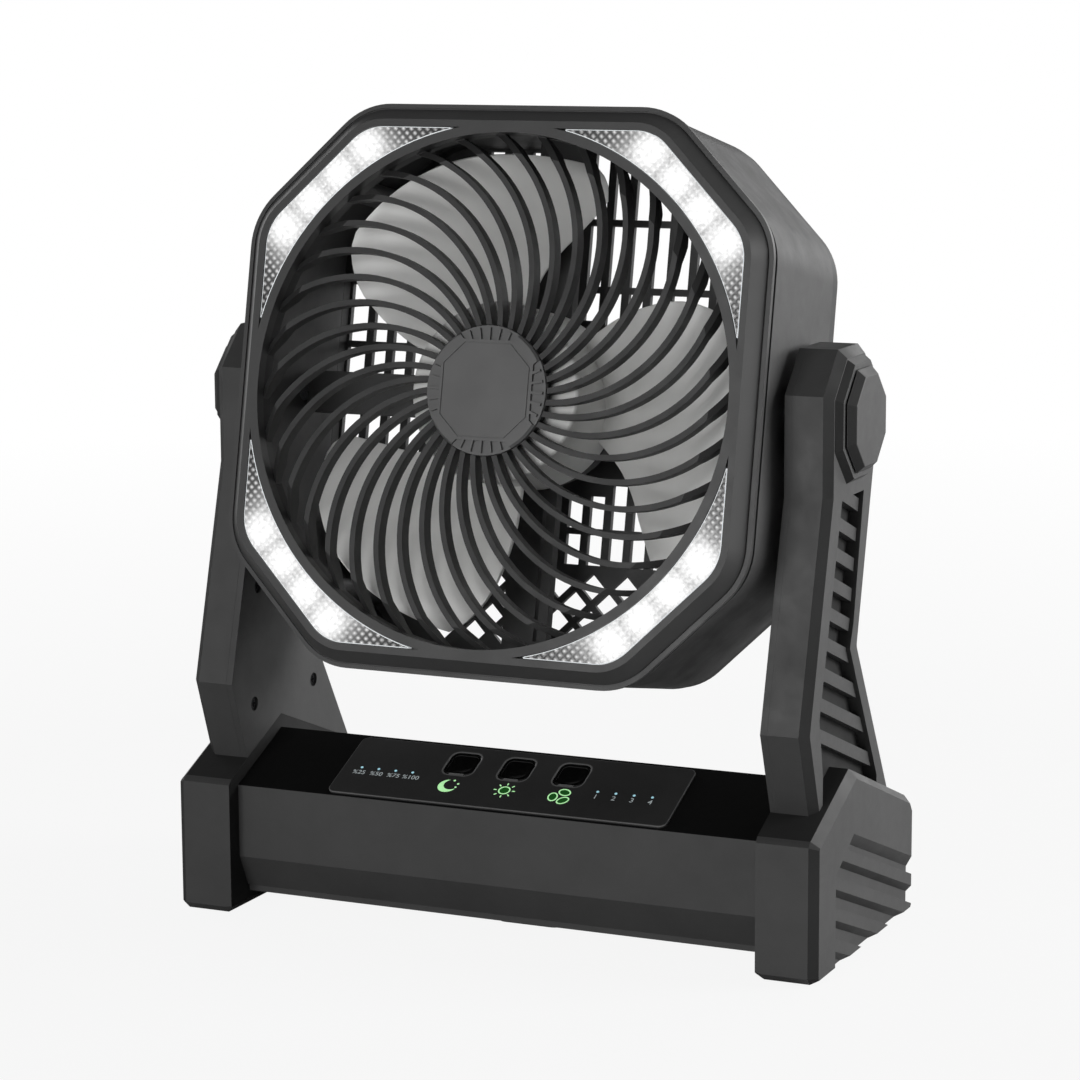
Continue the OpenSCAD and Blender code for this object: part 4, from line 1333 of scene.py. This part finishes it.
    def build(self, shop: Workshop) -> None:
        """Print everything on the panel."""
        self.build_moon(shop)
        self.build_sun(shop)
        self.build_fan(shop)
        for k, words in enumerate(("%25", "%50", "%75", "%100")):
            x = self.charge_x + self.number_step * k
            self.write(words, x, self.charge_high, shop, f"charge_number_{k + 1}")
        for k in range(4):
            x = self.speed_x + self.number_step * k
            self.write(str(k + 1), x, self.speed_high, shop, f"speed_number_{k + 1}")


# ---------- studio ----------


@dataclass(frozen=True)
class Lamp:
    """A soft square lamp that points at aim; sizes in metres and watts."""

    name: str
    place: Spot
    size: float
    power: float
    aim: Spot = (0.0, 0.0, 0.15)

    def build(self) -> None:
        """Add the lamp."""
        data = bpy.data.lights.new(self.name, "AREA")
        data.shape = "SQUARE"
        data.size = self.size
        data.energy = self.power
        lamp = show(bpy.data.objects.new(self.name, data))
        lamp.location = self.place
        lamp.rotation_mode = "QUATERNION"
        way = Vector(self.aim) - Vector(self.place)
        lamp.rotation_quaternion = way.to_track_quat("-Z", "Y")


@dataclass
class Studio:
    """Floor, backdrop, lamps and the camera."""

    eye: Spot = (0.494448, -1.091197, 0.345419)
    ahead: Spot = (-0.40766, 0.89721, -0.16980)
    up: Spot = (-0.06501, 0.15696, 0.98546)
    lens: float = 111.585
    sensor: float = 36.0
    clip: Pair = (0.05, 200.0)
    surround: float = 0.12
    floor_size: float = 120.0
    floor_drop: float = 0.2
    lamps: tuple[Lamp, ...] = (
        Lamp("Right lamp", (1.75, 0.65, 0.6), 1.0, 31.0),
        Lamp("Front lamp", (-0.3, -2.2, 0.45), 1.1, 20.5, (0.0, 0.0, 0.17)),
        Lamp("Rear lamp", (0.7, 2.0, 0.8), 1.4, 13.0),
        Lamp("Left lamp", (-1.9, 0.8, 0.55), 1.2, 7.0),
    )

    def camera(self) -> None:
        """Set up the camera."""
        data = bpy.data.cameras.new("Camera")
        data.sensor_fit = "HORIZONTAL"
        data.sensor_width = self.sensor
        data.lens = self.lens
        data.clip_start, data.clip_end = self.clip
        camera = show(bpy.data.objects.new("Camera", data))
        ahead = Vector(self.ahead).normalized()
        right = ahead.cross(Vector(self.up)).normalized()
        turn = Matrix((right, right.cross(ahead), -ahead)).transposed().to_4x4()
        camera.matrix_world = Matrix.Translation(self.eye) @ turn
        bpy.context.scene.camera = camera

    def world(self) -> None:
        """Make a soft grey surround that is white where it is seen."""
        world = bpy.data.worlds.new("Studio")
        world.use_nodes = True
        tree = world.node_tree
        tree.nodes.clear()
        path = add_node(tree, "ShaderNodeLightPath")
        mix = add_node(tree, "ShaderNodeMixShader", links={"Fac": path.outputs["Is Camera Ray"]})
        for slot, strength in zip(mix.inputs[1:], (self.surround, 1.0)):
            settings = {"Color": linear(WHITE), "Strength": strength}
            light = add_node(tree, "ShaderNodeBackground", settings)
            tree.links.new(light.outputs["Background"], slot)
        add_node(tree, "ShaderNodeOutputWorld", links={"Surface": mix.outputs["Shader"]})
        bpy.context.scene.world = world

    def floor(self) -> None:
        """Lay the pale floor that takes the object's shadow, just under the feet."""
        deselect_all()
        low = (0.0, 0.0, -self.floor_drop * MM)
        bpy.ops.mesh.primitive_plane_add(size=self.floor_size, location=low)
        floor = bpy.context.object
        floor.name = "floor"
        floor.data.materials.append(Paper("Matt white paper").build())

    def build(self) -> None:
        """Set up the whole studio."""
        self.camera()
        self.world()
        self.floor()
        for lamp in self.lamps:
            lamp.build()
        bpy.context.scene.view_settings.view_transform = "Standard"


# ---------- putting it together ----------


def both(stem: str, finish: Finish, **more: Any) -> list[RoundedHousing]:
    """Describe the left and the right piece of one name.

    Args:
        stem: Their name without its side.
        finish: Their finish.
        **more: What else RoundedHousing takes.

    Returns:
        The two pieces.
    """
    return [RoundedHousing(f"{stem}_{side}", finish, **more) for side in SIDES]


def rounded_pieces() -> list[RoundedHousing]:
    """Return the pieces that are the nodes' own solids with rounded edges."""
    # Painted shade on the deck, the end caps, the arms and the knobs; a painted highlight on the
    # grille's rib edges.
    deck = {"angle": 15.0, "area": Finish.DECK, "area_test": shaded_deck}
    lens = {"radius_mm": 0.35, "edge": Finish.LENS_EDGE}
    return [
        RoundedHousing("base_shell", Finish.HOUSING, 0.6, **deck),
        *both("end_cap", Finish.HOUSING, area=Finish.BEVEL, area_test=cap_shade),
        *both("arm", Finish.HOUSING, radius_mm=0.4, area=Finish.BEVEL, area_test=arm_shade),
        *both("arm_cover", Finish.HOUSING, radius_mm=0.3),
        *both("knob", Finish.HOUSING, area=Finish.BEVEL),
        RoundedHousing("head_bezel", Finish.RIM, 0.4),
        RoundedHousing("head_shell", Finish.HOUSING, 0.4),
        RoundedHousing("hub_badge", Finish.BADGE, 0.25),
        RoundedHousing("front_grille", Finish.LATTICE, 0.25, edge=Finish.RIB_HIGHLIGHT),
        *both("lens_top", Finish.LENS, **lens),
        *both("lens_bottom", Finish.LENS, **lens),
    ]


def main() -> None:
    """Build every sub-assembly in order."""
    logging.basicConfig(level=logging.INFO, format="%(name)s: %(message)s")
    shop = Workshop()
    NodeDress().build(shop)
    CornerLights().build(shop)
    for housing in rounded_pieces():
        housing.build(shop)
    Rotor().build(shop)
    PanelSkin().build(shop)
    PanelPrint().build(shop)
    Studio().build()


if __name__ == "__main__":
    main()
